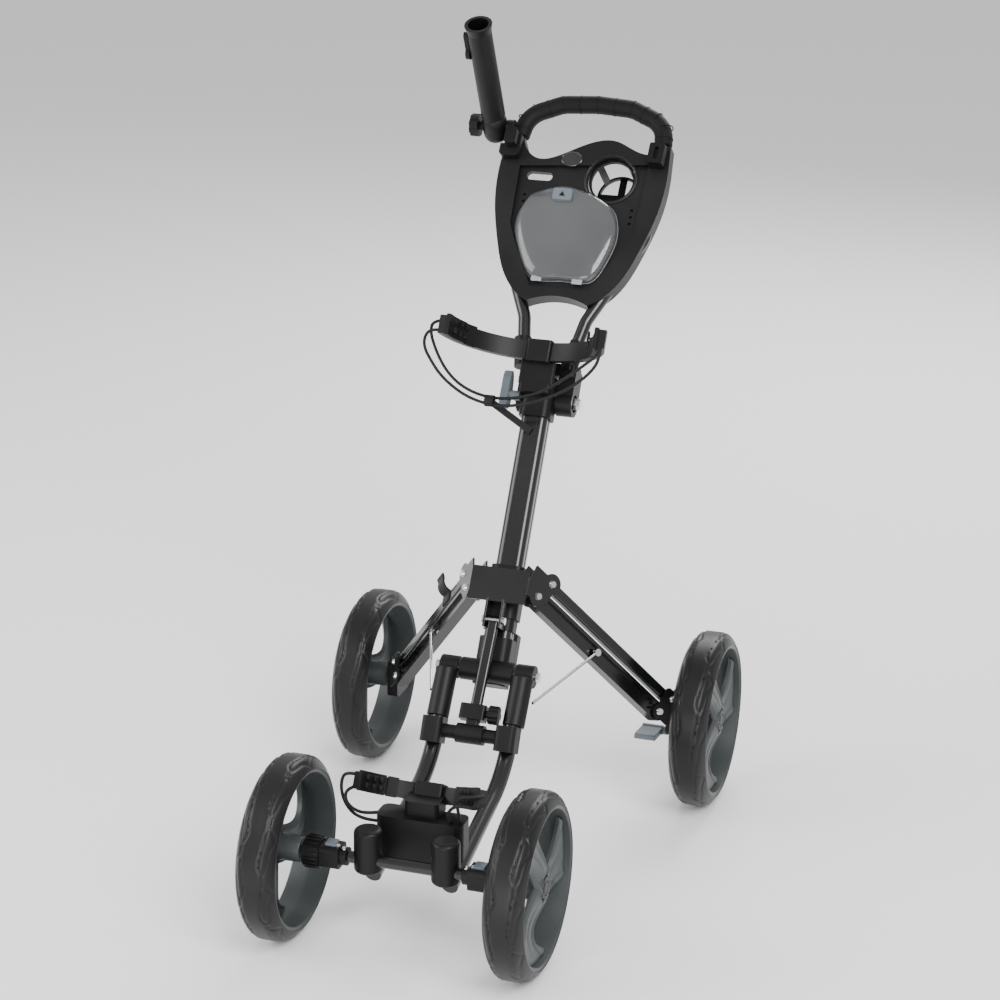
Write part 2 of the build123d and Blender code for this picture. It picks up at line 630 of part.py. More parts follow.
def cheek(start, thick, side):
    """One cheek of the handle's yoke, beside the head of the mast."""
    plane = Plane(origin=HANDLE_PIVOT + Vector(side * start, 0, 0), x_dir=MAST_UP, z_dir=(side, 0, 0))
    with BuildPart() as part:
        with BuildSketch(plane):
            Circle(22)
            with Locations((24, 0)):
                RectangleRounded(60, 40, 6)
        extrude(amount=thick)
    return part


with BuildPart() as handle_yoke:
    add(cheek(CHEEK_IN, RIGHT_CHEEK - CHEEK_IN, 1).part)
    add(cheek(CHEEK_IN, LEFT_CHEEK - CHEEK_IN, -1).part)
    with BuildSketch(MAST.offset(BRIDGE_LOW)):
        with Locations(((RIGHT_CHEEK - LEFT_CHEEK) / 2, HANDLE_PIVOT_BACK - 4)):
            RectangleRounded(RIGHT_CHEEK + LEFT_CHEEK, 42, 9)
    extrude(amount=20)
    for side in (-1, 1):
        low = HANDLE.from_local_coords(Vector(side * 38, 24, 0))
        high = HANDLE.from_local_coords(Vector(side * 47, 74, 0))
        with BuildSketch(Plane(origin=low, z_dir=high - low)):
            Circle(14)
        extrude(amount=(high - low).length)
    for side in (-1, 1):
        low = HANDLE.from_local_coords(Vector(side * 38, 34, 0))
        high = HANDLE.from_local_coords(Vector(side * 52, 112, 0))
        with BuildSketch(Plane(origin=low, z_dir=high - low)):
            Circle(HANDLE_TUBE_R)
        extrude(amount=60, mode=Mode.SUBTRACT)
    with BuildSketch(across(HANDLE_PIVOT).offset(-70)):
        Circle(5.06)
    extrude(amount=140, mode=Mode.SUBTRACT)
    with BuildSketch(across(HANDLE_PIVOT).offset(RIGHT_CHEEK - 4)):
        Circle(14)
        Circle(10, mode=Mode.SUBTRACT)
    extrude(amount=5, mode=Mode.SUBTRACT)
save(handle_yoke, "handle_yoke")

TUBE_HALF = ((38, 34), (52, 112), (121, 262), (127, 400), (118, 470), (60, 495), (0, 499))
GRIP_HALF = ((123, 430), (118, 470), (60, 495), (0, 499))
HANDLE_BEND_R = 45.0


def handle_path(half):
    """A symmetrical line in the handle's own plane, from its right-hand half."""
    points = list(half) + [(-x, up) for x, up in reversed(half[:-1])]
    with BuildLine(HANDLE, mode=Mode.PRIVATE) as path:
        FilletPolyline(*points, radius=HANDLE_BEND_R)
    return path


def handle_sweep(half, radius):
    """A round bar along a symmetrical line of the handle."""
    path = handle_path(half)
    with BuildPart(mode=Mode.PRIVATE) as bar:
        with BuildSketch(Plane(origin=path.line @ 0, z_dir=path.line % 0)):
            Circle(radius)
        sweep(path=path.line)
    return bar.part


with BuildPart() as handle_tube:
    add(handle_sweep(TUBE_HALF, HANDLE_TUBE_R))
save(handle_tube, "handle_tube")

with BuildPart() as grip:
    add(handle_sweep(GRIP_HALF, GRIP_R))
    fillet(grip.faces().filter_by(GeomType.PLANE).edges(), 3)
    add(handle_sweep(TUBE_HALF, HANDLE_TUBE_R), mode=Mode.SUBTRACT)
save(grip, "grip")

CONSOLE_BACK, CONSOLE_FRONT, PANEL_BACK, PANEL_FRONT = -13.0, 15.0, -3.0, 7.0
CUP_AT, CUP_R = (48.0, 363.0), 40.0
POCKET = ((-50, 160), (50, 160), (92, 240), (105, 268), (109, 390), (-109, 372), (-105, 268), (-92, 240))

with BuildPart() as console:
    with BuildSketch(HANDLE.offset(CONSOLE_BACK)):
        with BuildLine():
            sides = []
            for side in (1, -1):
                rail = Spline((side * 52, 134), (side * 94, 172), (side * 121, 236), (side * 138, 300),
                              (side * 143, 385))
                horn = Polyline(rail @ 1, (side * 140, 426), (side * 114, 427), (side * 106, 408))
                sides.append((rail, horn))
            ThreePointArc(sides[0][0] @ 0, (0, 146), sides[1][0] @ 0)
            Spline(sides[0][1] @ 1, (88, 411), (48, 428), (-8, 416), (-82, 388), sides[1][1] @ 1)
        make_face()
    extrude(amount=CONSOLE_FRONT - CONSOLE_BACK)
    with BuildSketch(HANDLE.offset(PANEL_FRONT)):
        with BuildLine():
            Polyline(*POCKET, close=True)
        make_face()
    extrude(amount=20, mode=Mode.SUBTRACT)
    with BuildSketch(HANDLE.offset(PANEL_BACK)):
        with BuildLine():
            Polyline(*POCKET, close=True)
        make_face()
    extrude(amount=-20, mode=Mode.SUBTRACT)
    with BuildSketch(HANDLE.offset(CONSOLE_BACK - 1)):
        with Locations(CUP_AT):
            Circle(CUP_R)
        with Locations((-74, 359)):
            SlotOverall(44, 15)
    extrude(amount=40, mode=Mode.SUBTRACT)
    with BuildSketch(HANDLE.offset(PANEL_FRONT - 5)):
        with Locations((-93, 300), (-93, 312), (-93, 324), (93, 286), (93, 298), (93, 310)):
            Circle(2.6)
    extrude(amount=10, mode=Mode.SUBTRACT)
    add(handle_sweep(TUBE_HALF, HANDLE_TUBE_R), mode=Mode.SUBTRACT)
save(console, "console")

COVER_LOW, COVER_HIGH = PANEL_FRONT + 0.5, PANEL_FRONT + 17
COVER_LINE = ((-52, 174), (50, 176), (80, 262), (66, 306), (0, 340), (-30, 345), (-88, 318), (-99, 266))
with BuildPart() as scorecard_cover:
    with BuildSketch(HANDLE.offset(COVER_LOW)) as footprint:
        with BuildLine():
            Polyline(*COVER_LINE, close=True)
        make_face()
        fillet(footprint.vertices(), 9)
    extrude(amount=COVER_HIGH - COVER_LOW, taper=12)
    with BuildSketch(HANDLE.offset(COVER_LOW - 1)):
        add(footprint.sketch_local)
        offset(amount=-2.2, mode=Mode.REPLACE)
    extrude(amount=COVER_HIGH - COVER_LOW - 1, taper=12, mode=Mode.SUBTRACT)
    for x in (-41, 28):
        with BuildSketch(HANDLE.offset(COVER_LOW)):
            with Locations((x, 170)):
                Rectangle(16, 12)
        extrude(amount=6)
save(scorecard_cover, "scorecard_cover")

with BuildPart() as cover_latch:
    with BuildSketch(HANDLE.offset(COVER_HIGH + 0.4)):
        with Locations((-22, 320)):
            RectangleRounded(34, 22, 5)
    extrude(amount=6, taper=8)
save(cover_latch, "cover_latch")

BASKET_R, BASKET_DEEP = CUP_R - 0.8, 72.0
with BuildPart() as cup_basket:
    for depth, tall in ((CONSOLE_BACK + 4, 8), (-BASKET_DEEP, 7)):
        with BuildSketch(HANDLE.offset(depth)):
            with Locations(CUP_AT):
                Circle(BASKET_R)
                Circle(BASKET_R - 4, mode=Mode.SUBTRACT)
        extrude(amount=tall)
    with BuildSketch(HANDLE.offset(-BASKET_DEEP)):
        with Locations(CUP_AT):
            with PolarLocations(BASKET_R - 2.2, 4, start_angle=45):
                Rectangle(3, 12)
    extrude(amount=BASKET_DEEP + CONSOLE_BACK + 6)
    with BuildSketch(HANDLE.offset(-BASKET_DEEP)):
        with Locations(CUP_AT):
            Rectangle(2 * BASKET_R - 3, 12)
            Rectangle(12, 2 * BASKET_R - 3)
    extrude(amount=3)
save(cup_basket, "cup_basket")

# ---------------------------------------------------------------- umbrella holder and accessory mount
UMBRELLA_X = -160.0
SWIVEL = Vector(UMBRELLA_X, REAR_AXLE_Y + 239, 1054)
UMBRELLA_TILT = 27.0
UMBRELLA_UP = Vector(0, -sin(radians(UMBRELLA_TILT)), cos(radians(UMBRELLA_TILT)))
UMBRELLA = Plane(origin=SWIVEL, x_dir=(1, 0, 0), z_dir=UMBRELLA_UP)
SOCKET_R, SOCKET_BORE, SOCKET_LOW, SOCKET_HIGH = 20.0, 17.0, 24.0, 206.0
SWIVEL_R = 21.0

with BuildPart() as umbrella_mount:
    with BuildSketch(HANDLE.offset(CONSOLE_FRONT)):
        with Locations((-128, 404)):
            RectangleRounded(34, 44, 7)
    extrude(amount=16)
    with BuildSketch(across(SWIVEL + Vector(SWIVEL_R + 1.0, 0, 0))):
        Circle(13)
    extrude(amount=12)
    with BuildSketch(HANDLE.offset(CONSOLE_FRONT + 8)):
        with Locations((-125, 411)):
            RectangleRounded(20, 30, 6)
    extrude(amount=26)
    with BuildSketch(across(SWIVEL)):
        Circle(5.06)
    extrude(amount=60, mode=Mode.SUBTRACT)
    with BuildSketch(across(SWIVEL - Vector(30, 0, 0))):
        Circle(29)
    extrude(amount=30 + SWIVEL_R + 0.6, mode=Mode.SUBTRACT)
save(umbrella_mount, "umbrella_mount")

with BuildPart() as umbrella_swivel:
    with BuildSketch(Plane(origin=SWIVEL, x_dir=(1, 0, 0), z_dir=UMBRELLA.y_dir)):
        with BuildLine():
            Spline((0, 27), (SWIVEL_R, 0), (0, -27), tangents=((1, 0), (-1, 0)))
            Line((0, 27), (0, -27))
        make_face()
    revolve(axis=Axis(SWIVEL, UMBRELLA_UP))
    with BuildSketch(across(SWIVEL - Vector(SWIVEL_R + 2, 0, 0))):
        Circle(9)
    extrude(amount=18)
    with BuildSketch(UMBRELLA.offset(SOCKET_LOW)):
        Circle(60)
    extrude(amount=30, mode=Mode.SUBTRACT)
    with BuildSketch(across(SWIVEL - Vector(30, 0, 0))):
        Circle(5.06)
    extrude(amount=60, mode=Mode.SUBTRACT)
save(umbrella_swivel, "umbrella_swivel")

with BuildPart() as umbrella_knob:
    with BuildSketch(across(SWIVEL - Vector(SWIVEL_R + 2.3, 0, 0), (-1, 0, 0))):
        Circle(7)
    extrude(amount=3)
    with BuildSketch(across(SWIVEL - Vector(SWIVEL_R + 5.3, 0, 0), (-1, 0, 0))):
        Circle(19)
        with PolarLocations(22, 8):
            Circle(5, mode=Mode.SUBTRACT)
    extrude(amount=15)
    fillet(umbrella_knob.faces().sort_by(Axis.X)[0].edges(), 1.5)
    with BuildSketch(across(SWIVEL - Vector(SWIVEL_R + 10, 0, 0))):
        Circle(5)
    extrude(amount=SWIVEL_R + 10 + 30)
save(umbrella_knob, "umbrella_knob")

with BuildPart() as umbrella_socket:
    with BuildSketch(UMBRELLA.offset(SOCKET_LOW)):
        Circle(SOCKET_R)
    extrude(amount=SOCKET_HIGH - SOCKET_LOW)
    with BuildSketch(UMBRELLA.offset(SOCKET_HIGH - 14)):
        Circle(SOCKET_R)
    extrude(amount=14, taper=-12)
    with BuildSketch(UMBRELLA.offset(SOCKET_LOW + 14)):
        Circle(SOCKET_BORE)
    extrude(amount=SOCKET_HIGH, mode=Mode.SUBTRACT)
save(umbrella_socket, "umbrella_socket")

CLIP = UMBRELLA.from_local_coords(Vector(-SOCKET_R - 0.3, 0, 148))
with BuildPart() as umbrella_clip:
    with BuildSketch(Plane(origin=CLIP, x_dir=UMBRELLA_UP, z_dir=(-1, 0, 0))):
        Circle(11)
        with Locations((17, 0)):
            SlotOverall(46, 11)
    extrude(amount=7)
save(umbrella_clip, "umbrella_clip")

with BuildPart() as accessory_mount:
    with BuildSketch(HANDLE.offset(CONSOLE_FRONT)):
        with Locations((122, 404)):
            RectangleRounded(30, 40, 6)
    extrude(amount=20, taper=6)
    with BuildSketch(HANDLE.offset(CONSOLE_FRONT + 14)):
        with Locations((122, 404)):
            SlotOverall(22, 7, rotation=90)
    extrude(amount=10, mode=Mode.SUBTRACT)
save(accessory_mount, "accessory_mount")

LEVER_AT = MAST.from_local_coords(Vector(-MAST_WIDE / 2 - 4.8, -20, 448))
with BuildPart() as handle_lever:
    with BuildSketch(across(LEVER_AT, (-1, 0, 0))):
        Circle(8)
    extrude(amount=18)
    with BuildSketch(Plane(origin=LEVER_AT - Vector(18, 0, 0), x_dir=MAST_UP, z_dir=(-1, 0, 0))):
        with BuildLine():
            Spline((-22, 4), (-14, 12), (10, 14), (36, 6), (40, 0), (36, -5), (10, -9), (-14, -9), (-22, -4),
                   periodic=True)
        make_face()
    extrude(amount=13)
save(handle_lever, "handle_lever")

# ---------------------------------------------------------------- links between fork and legs
LINK_ALONG, LINK_R = 150.0, 2.4
LINK_TOP = LEG.from_local_coords(Vector(LINK_ALONG, 0, CHANNEL_HALF + LINK_R + 1.2))
LINK_FOOT = Vector(83.5, REAR_AXLE_Y - 299, 266)
with BuildPart() as link_rod_right:
    run = LINK_FOOT - LINK_TOP
    with BuildSketch(Plane(origin=LINK_TOP, z_dir=run)):
        Circle(LINK_R)
    extrude(amount=run.length)
    with BuildSketch(Plane(origin=LINK_TOP - LEG_NORMAL * (LINK_R + 0.8), z_dir=LEG_NORMAL)):
        Circle(6)
    extrude(amount=2 * LINK_R + 1.6)
save(link_rod_right, "link_rod_right")
save(mirrored(link_rod_right), "link_rod_left")

# ---------------------------------------------------------------- brake pedal and storage clip
PEDAL_AT = Vector(WHEEL_PLATE_X - 20, REAR_AXLE_Y - 22, REAR_RADIUS - 22)
with BuildPart() as brake_pedal:
    with BuildSketch(across(PEDAL_AT - Vector(16, 0, 0))):
        Circle(8)
        with Locations((-26, 4)):
            SlotOverall(60, 10, rotation=-8)
    extrude(amount=34)
    with BuildSketch(across(PEDAL_AT + Vector(18, 0, 0))):
        Circle(7)
    extrude(amount=WHEEL_PLATE_X + 7.7 - PEDAL_AT.X - 18)
save(brake_pedal, "brake_pedal")

# ---------------------------------------------------------------- elastic cords
CORD_R = 2.5


def at(x, y, z):
    """A point given from the rear axle line."""
    return Vector(x, y + REAR_AXLE_Y, z)


def cord(points, name):
    """A round cord along straight runs with tangent arcs, its radii printed with its length."""
    radii = []
    for before, corner, after in zip(points, points[1:], points[2:]):
        first, second = corner - before, after - corner
        turn = radians(first.get_angle(second))
        radii.append(round(0.45 * min(first.length, second.length) / tan(turn / 2), 1))
    with BuildLine(mode=Mode.PRIVATE) as path:
        FilletPolyline(*points, radius=radii)
    with BuildPart() as part:
        with BuildSketch(Plane(origin=path.line @ 0, z_dir=path.line % 0)):
            Circle(CORD_R)
        sweep(path=path.line)
    print(name, "length", round(path.wire().length, 1), "radii", radii)
    save(part, name)
    return part


UPPER_CORD_A = (at(-133, -103, 811), at(-150, -105, 809), at(-152, -107, 790), at(-147, -105, 770),
                at(-140, -102, 750), at(-129, -98, 728), at(-112, -92, 707), at(-88, -86, 692), at(-60, -82, 685),
                at(-30, -82, 686), at(0, -84, 694), at(30, -89, 707), at(58, -95, 727), at(84, -101, 747),
                at(104, -106, 764), at(119, -108, 777), at(127, -106, 789))
UPPER_CORD_B = (at(-134, -110, 797), at(-149, -115, 799), at(-160, -115, 785), at(-161, -112, 766),
                at(-152, -109, 747), at(-139, -106, 725), at(-119, -101, 704), at(-93, -95, 686),
                at(-62, -90, 676), at(-30, -90, 676), at(2, -93, 684), at(34, -98, 697), at(66, -103, 714),
                at(95, -108, 735), at(116, -114, 756), at(128, -118, 776), at(130, -118, 796))
LOWER_LEFT_A = (at(-100, -577, 240), at(-118, -583, 246), at(-123, -590, 229), at(-119, -592, 205),
                at(-106, -590, 183), at(-87, -584, 172), at(-67, -578, 170))
LOWER_LEFT_B = (at(-99, -586, 226), at(-112, -596, 224), at(-112, -601, 207), at(-100, -597, 192),
                at(-84, -588, 184), at(-67, -577, 184))
LOWER_RIGHT_A = (at(100, -588, 242), at(99, -607, 247), at(85, -616, 250), at(72, -612, 244), at(65, -606, 229),
                 at(64, -597, 211), at(62, -580, 187))
LOWER_RIGHT_B = (at(101, -594, 228), at(98, -614, 231), at(83, -623, 237), at(67, -621, 235), at(55, -615, 222),
                 at(49, -603, 206), at(48, -582, 187))
CORDS = {"upper_cord_a": UPPER_CORD_A, "upper_cord_b": UPPER_CORD_B, "lower_cord_left_a": LOWER_LEFT_A,
         "lower_cord_left_b": LOWER_LEFT_B, "lower_cord_right_a": LOWER_RIGHT_A,
         "lower_cord_right_b": LOWER_RIGHT_B}
cords = {name: cord(points, name) for name, points in CORDS.items()}

STRAP_TOP = at(-60, -86, 681)
STRAP_FOOT = MAST.from_local_coords(Vector(0, -MAST_DEEP / 2 - 1.8, 392))
with BuildPart() as cord_strap:
    with BuildSketch(across(STRAP_TOP).offset(-7)):
        Circle(9.5)
    extrude(amount=14)
    with BuildSketch(Plane(origin=STRAP_TOP, x_dir=MAST.y_dir, z_dir=STRAP_FOOT - STRAP_TOP)):
        Rectangle(3, 11)
    extrude(amount=(STRAP_FOOT - STRAP_TOP).length)
    for name in ("upper_cord_a", "upper_cord_b"):
        add(cords[name].part, mode=Mode.SUBTRACT)
save(cord_strap, "cord_strap")
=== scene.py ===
"""Studio scene of a folding four-wheel golf push trolley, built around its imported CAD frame."""

import json
import logging
import math
from collections.abc import Callable
from dataclasses import dataclass, field
from enum import Enum
from functools import cached_property

import bpy
from mathutils import Matrix, Vector

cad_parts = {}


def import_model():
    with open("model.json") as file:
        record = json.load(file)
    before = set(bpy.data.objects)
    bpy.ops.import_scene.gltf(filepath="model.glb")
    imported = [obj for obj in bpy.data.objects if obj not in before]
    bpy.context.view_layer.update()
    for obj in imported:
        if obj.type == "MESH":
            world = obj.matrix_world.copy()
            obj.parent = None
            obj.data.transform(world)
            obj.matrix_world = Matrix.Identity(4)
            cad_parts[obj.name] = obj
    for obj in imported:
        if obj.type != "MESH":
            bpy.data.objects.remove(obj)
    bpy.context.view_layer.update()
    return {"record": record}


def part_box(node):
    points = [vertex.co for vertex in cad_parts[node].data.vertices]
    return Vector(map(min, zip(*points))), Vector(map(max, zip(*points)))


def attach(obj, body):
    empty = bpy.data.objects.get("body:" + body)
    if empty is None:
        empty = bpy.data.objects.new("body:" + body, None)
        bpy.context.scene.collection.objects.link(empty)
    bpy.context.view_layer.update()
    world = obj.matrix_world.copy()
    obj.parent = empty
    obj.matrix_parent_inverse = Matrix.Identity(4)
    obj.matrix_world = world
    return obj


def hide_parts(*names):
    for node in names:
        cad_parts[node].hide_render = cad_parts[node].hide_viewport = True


LOG = logging.getLogger("trolley")

Point = tuple[float, float, float]
Colour = tuple[float, float, float]

REAR_AXLE_Y = 0.2335
MAST_TILT = math.radians(31.2)
HANDLE_TILT = math.radians(37.3)
MAST_FOOT = Vector((0.0, REAR_AXLE_Y - 0.2457, 0.283))
MAST_UP = Vector((0.0, math.sin(MAST_TILT), math.cos(MAST_TILT)))
MAST_BACK = Vector((0.0, math.cos(MAST_TILT), -math.sin(MAST_TILT)))
HANDLE_UP = Vector((0.0, math.sin(HANDLE_TILT), math.cos(HANDLE_TILT)))
HANDLE_FACE = Vector((0.0, -math.cos(HANDLE_TILT), math.sin(HANDLE_TILT)))
HANDLE_ROOT = MAST_FOOT + MAST_UP * 0.478
ACROSS = Vector((1.0, 0.0, 0.0))


def on_mast(x: float, back: float, up: float) -> Vector:
    """A point given across, behind and up the mast's own line, in metres."""
    return MAST_FOOT + ACROSS * x + MAST_BACK * back + MAST_UP * up


def on_handle(x: float, up: float, out: float) -> Vector:
    """A point given across, up and out of the handle's face, in metres."""
    return HANDLE_ROOT + ACROSS * x + HANDLE_UP * up + HANDLE_FACE * out


class Hand(Enum):
    """The side of the trolley that a piece is on."""

    RIGHT = 1
    LEFT = -1

    @property
    def word(self) -> str:
        """The side's name as the frame's nodes spell it."""
        return self.name.lower()


class Surface(Enum):
    """How a finish breaks up over its surface."""

    GRAIN = "grain"
    STREAK = "streak"
    WEAVE = "weave"


def group_socket(tree: bpy.types.NodeTree, name: str, kind: str, value: object = None, out: bool = False) -> None:
    """Adds one socket to a node group.

    Args:
        tree: The group that gets the socket.
        name: The socket's name.
        kind: The socket's type name.
        value: Its default value, or None.
        out: True for an output.
    """
    item = tree.interface.new_socket(name, in_out="OUTPUT" if out else "INPUT", socket_type=kind)
    if value is not None:
        item.default_value = value


def surface_group(kind: Surface) -> bpy.types.NodeTree:
    """Builds, once, the node group that breaks up a finish.

    Args:
        kind: The sort of break-up.

    Returns:
        The node group, with colour, roughness and height outputs.
    """
    name = f"break_up_{kind.value}"
    if name in bpy.data.node_groups:
        return bpy.data.node_groups[name]
    tree = bpy.data.node_groups.new(name, "ShaderNodeTree")
    group_socket(tree, "Vector", "NodeSocketVector")
    group_socket(tree, "Colour", "NodeSocketColor", (0.1, 0.1, 0.1, 1.0))
    group_socket(tree, "Worn", "NodeSocketColor", (0.2, 0.2, 0.2, 1.0))
    group_socket(tree, "Roughness", "NodeSocketFloat", 0.5)
    group_socket(tree, "Spread", "NodeSocketFloat", 0.1)
    group_socket(tree, "Scale", "NodeSocketFloat", 500.0)
    group_socket(tree, "Colour", "NodeSocketColor", out=True)
    group_socket(tree, "Roughness", "NodeSocketFloat", out=True)
    group_socket(tree, "Height", "NodeSocketFloat", out=True)
    nodes, links = tree.nodes, tree.links
    start, end = nodes.new("NodeGroupInput"), nodes.new("NodeGroupOutput")
    broad = nodes.new("ShaderNodeTexNoise")
    broad.inputs["Scale"].default_value = 9.0
    broad.inputs["Detail"].default_value = 6.0
    links.new(start.outputs["Vector"], broad.inputs["Vector"])
    if kind is Surface.WEAVE:
        fine = nodes.new("ShaderNodeTexVoronoi")
        height = fine.outputs["Distance"]
        links.new(start.outputs["Vector"], fine.inputs["Vector"])
    else:
        fine = nodes.new("ShaderNodeTexNoise")
        fine.inputs["Detail"].default_value = 3.0
        height = fine.outputs["Fac"]
        if kind is Surface.STREAK:
            stretch = nodes.new("ShaderNodeMapping")
            stretch.inputs["Scale"].default_value = (0.04, 1.0, 1.0)
            links.new(start.outputs["Vector"], stretch.inputs["Vector"])
            links.new(stretch.outputs["Vector"], fine.inputs["Vector"])
        else:
            links.new(start.outputs["Vector"], fine.inputs["Vector"])
    links.new(start.outputs["Scale"], fine.inputs["Scale"])
    mask = nodes.new("ShaderNodeMapRange")
    mask.inputs["From Min"].default_value = 0.42
    mask.inputs["From Max"].default_value = 0.78
    links.new(broad.outputs["Fac"], mask.inputs["Value"])
    mix = nodes.new("ShaderNodeMix")
    mix.data_type = "RGBA"
    links.new(mask.outputs["Result"], mix.inputs["Factor"])
    links.new(start.outputs["Colour"], mix.inputs["A"])
    links.new(start.outputs["Worn"], mix.inputs["B"])
    both = nodes.new("ShaderNodeMath")
    both.operation = "ADD"
    links.new(broad.outputs["Fac"], both.inputs[0])
    links.new(height, both.inputs[1])
    centre = nodes.new("ShaderNodeMath")
    centre.operation = "SUBTRACT"
    centre.inputs[1].default_value = 1.0
    links.new(both.outputs[0], centre.inputs[0])
    rough = nodes.new("ShaderNodeMath")
    rough.operation = "MULTIPLY_ADD"
    links.new(centre.outputs[0], rough.inputs[0])
    links.new(start.outputs["Spread"], rough.inputs[1])
    links.new(start.outputs["Roughness"], rough.inputs[2])
    links.new(mix.outputs["Result"], end.inputs["Colour"])
    links.new(rough.outputs[0], end.inputs["Roughness"])
    links.new(height, end.inputs["Height"])
    return tree


@dataclass(frozen=True)
class Finish:
    """One material of the trolley: its colours, its gloss and how its surface breaks up."""

    name: str
    colour: Colour
    worn: Colour
    roughness: float
    spread: float = 0.12
    scale: float = 700.0
    bump: float = 0.00012
    surface: Surface = Surface.GRAIN
    metallic: float = 0.0
    coat: float = 0.0
    specular: float = 0.5
    transmission: float = 0.0

    def material(self) -> bpy.types.Material:
        """Makes the finish's material, or finds it if it's made; the frame's own names are left alone."""
        title = f"{self.name}_finish"
        if title in bpy.data.materials:
            return bpy.data.materials[title]
        material = bpy.data.materials.new(title)
        material.use_nodes = True
        nodes, links = material.node_tree.nodes, material.node_tree.links
        shader = nodes["Principled BSDF"]
        place = nodes.new("ShaderNodeTexCoord")
        group = nodes.new("ShaderNodeGroup")
        group.node_tree = surface_group(self.surface)
        group.inputs["Colour"].default_value = (*self.colour, 1.0)
        group.inputs["Worn"].default_value = (*self.worn, 1.0)
        group.inputs["Roughness"].default_value = self.roughness
        group.inputs["Spread"].default_value = self.spread
        group.inputs["Scale"].default_value = self.scale
        links.new(place.outputs["Object"], group.inputs["Vector"])
        links.new(group.outputs["Colour"], shader.inputs["Base Color"])
        links.new(group.outputs["Roughness"], shader.inputs["Roughness"])
        bump = nodes.new("ShaderNodeBump")
        bump.inputs["Strength"].default_value = 0.6
        bump.inputs["Distance"].default_value = self.bump
        links.new(group.outputs["Height"], bump.inputs["Height"])
        links.new(bump.outputs["Normal"], shader.inputs["Normal"])
        shader.inputs["Metallic"].default_value = self.metallic
        shader.inputs["Coat Weight"].default_value = self.coat
        shader.inputs["Coat Roughness"].default_value = 0.12
        shader.inputs["Specular IOR Level"].default_value = self.specular
        shader.inputs["Transmission Weight"].default_value = self.transmission
        return material


PAINT = Finish("black_paint", (0.003, 0.003, 0.0034), (0.006, 0.006, 0.0065), 0.24, 0.12, 900.0, 0.00003,
               coat=0.35, specular=0.4)
PLASTIC = Finish("black_plastic", (0.0035, 0.0035, 0.0038), (0.007, 0.007, 0.0075), 0.42, 0.16, 1400.0, 0.00008,
                 specular=0.22)
CONSOLE = Finish("console_plastic", (0.005, 0.005, 0.0054), (0.009, 0.009, 0.0095), 0.4, 0.18, 1100.0, 0.00012,
                 specular=0.25)
TYRE = Finish("tyre_rubber", (0.0035, 0.0035, 0.0038), (0.008, 0.008, 0.0085), 0.4, 0.16, 600.0, 0.0001,
              specular=0.3)
RIM = Finish("rim_plastic", (0.036, 0.041, 0.042), (0.05, 0.056, 0.058), 0.4, 0.14, 900.0, 0.00006, specular=0.3)
RUBBER = Finish("pad_rubber", (0.003, 0.003, 0.003), (0.006, 0.006, 0.006), 0.55, 0.16, 700.0, 0.00015,
                specular=0.2)
FOAM = Finish("grip_foam", (0.004, 0.004, 0.0042), (0.009, 0.009, 0.0095), 0.6, 0.16, 420.0, 0.0003,
              specular=0.18)
STEEL = Finish("steel", (0.72, 0.72, 0.73), (0.6, 0.6, 0.61), 0.16, 0.1, 1600.0, 0.00002, Surface.STREAK, 1.0)
GREY = Finish("grey_plastic", (0.09, 0.11, 0.125), (0.13, 0.15, 0.17), 0.36, 0.14, 900.0, 0.00006, specular=0.35)
BADGE = Finish("badge", (0.012, 0.012, 0.013), (0.02, 0.02, 0.021), 0.2, 0.1, 900.0, 0.00002, coat=0.4,
               specular=0.4)
SMOKE = Finish("smoked_cover", (0.3, 0.31, 0.32), (0.38, 0.39, 0.4), 0.16, 0.06, 60.0, 0.000002, coat=0.2,
               transmission=0.82)
# Clear plastic for the cover's knuckles; on the cover's edge rim, the same light colour is a painted highlight.
CLEAR_AND_HIGHLIGHT = Finish("clear_plastic", (0.62, 0.64, 0.66), (0.7, 0.72, 0.74), 0.12, 0.06, 500.0, 0.00002,
               transmission=0.6)
CORD = Finish("elastic_cord", (0.004, 0.0045, 0.0045), (0.018, 0.02, 0.02), 0.6, 0.12, 900.0, 0.0004,
              Surface.WEAVE, specular=0.25)

NODE_FINISH = {
    "black_paint": PAINT, "black_plastic": PLASTIC, "pad_rubber": RUBBER, "elastic": CORD, "steel": STEEL,
    "grip_foam": FOAM, "grey_plastic": GREY, "smoke": SMOKE, "rim_grey": RIM, "tyre_black": TYRE,
}


def deselect() -> None:
    """Leaves object mode with nothing selected."""
    if bpy.context.object is not None and bpy.context.object.mode != "OBJECT":
        bpy.ops.object.mode_set(mode="OBJECT")
    bpy.ops.object.select_all(action="DESELECT")


def settle(name: str, body: str, finish: Finish, angle: float = 35.0) -> bpy.types.Object:
    """Ends a piece's modelling: applies its place, smooths it, dresses it and makes it ride.

    Args:
        name: The piece's name.
        body: The body that it rides on.
        finish: Its finish.
        angle: Edges sharper than this stay sharp, in degrees.

    Returns:
        The active object, finished.
    """
    piece = bpy.context.object
    if piece.mode != "OBJECT":
        bpy.ops.object.mode_set(mode="OBJECT")
    piece.name = name
    piece.data.name = name
    bpy.ops.object.transform_apply(location=True, rotation=True, scale=True)
    bpy.ops.object.mode_set(mode="EDIT")
    bpy.ops.mesh.select_all(action="SELECT")
    bpy.ops.mesh.remove_doubles(threshold=0.00001)
    bpy.ops.mesh.normals_make_consistent(inside=False)
    bpy.ops.object.mode_set(mode="OBJECT")
    bpy.ops.object.shade_smooth_by_angle(angle=math.radians(angle))
    piece.data.materials.clear()
    piece.data.materials.append(finish.material())
    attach(piece, body)
    LOG.info("%s rides on %s, %d faces", name, body, len(piece.data.polygons))
    return piece


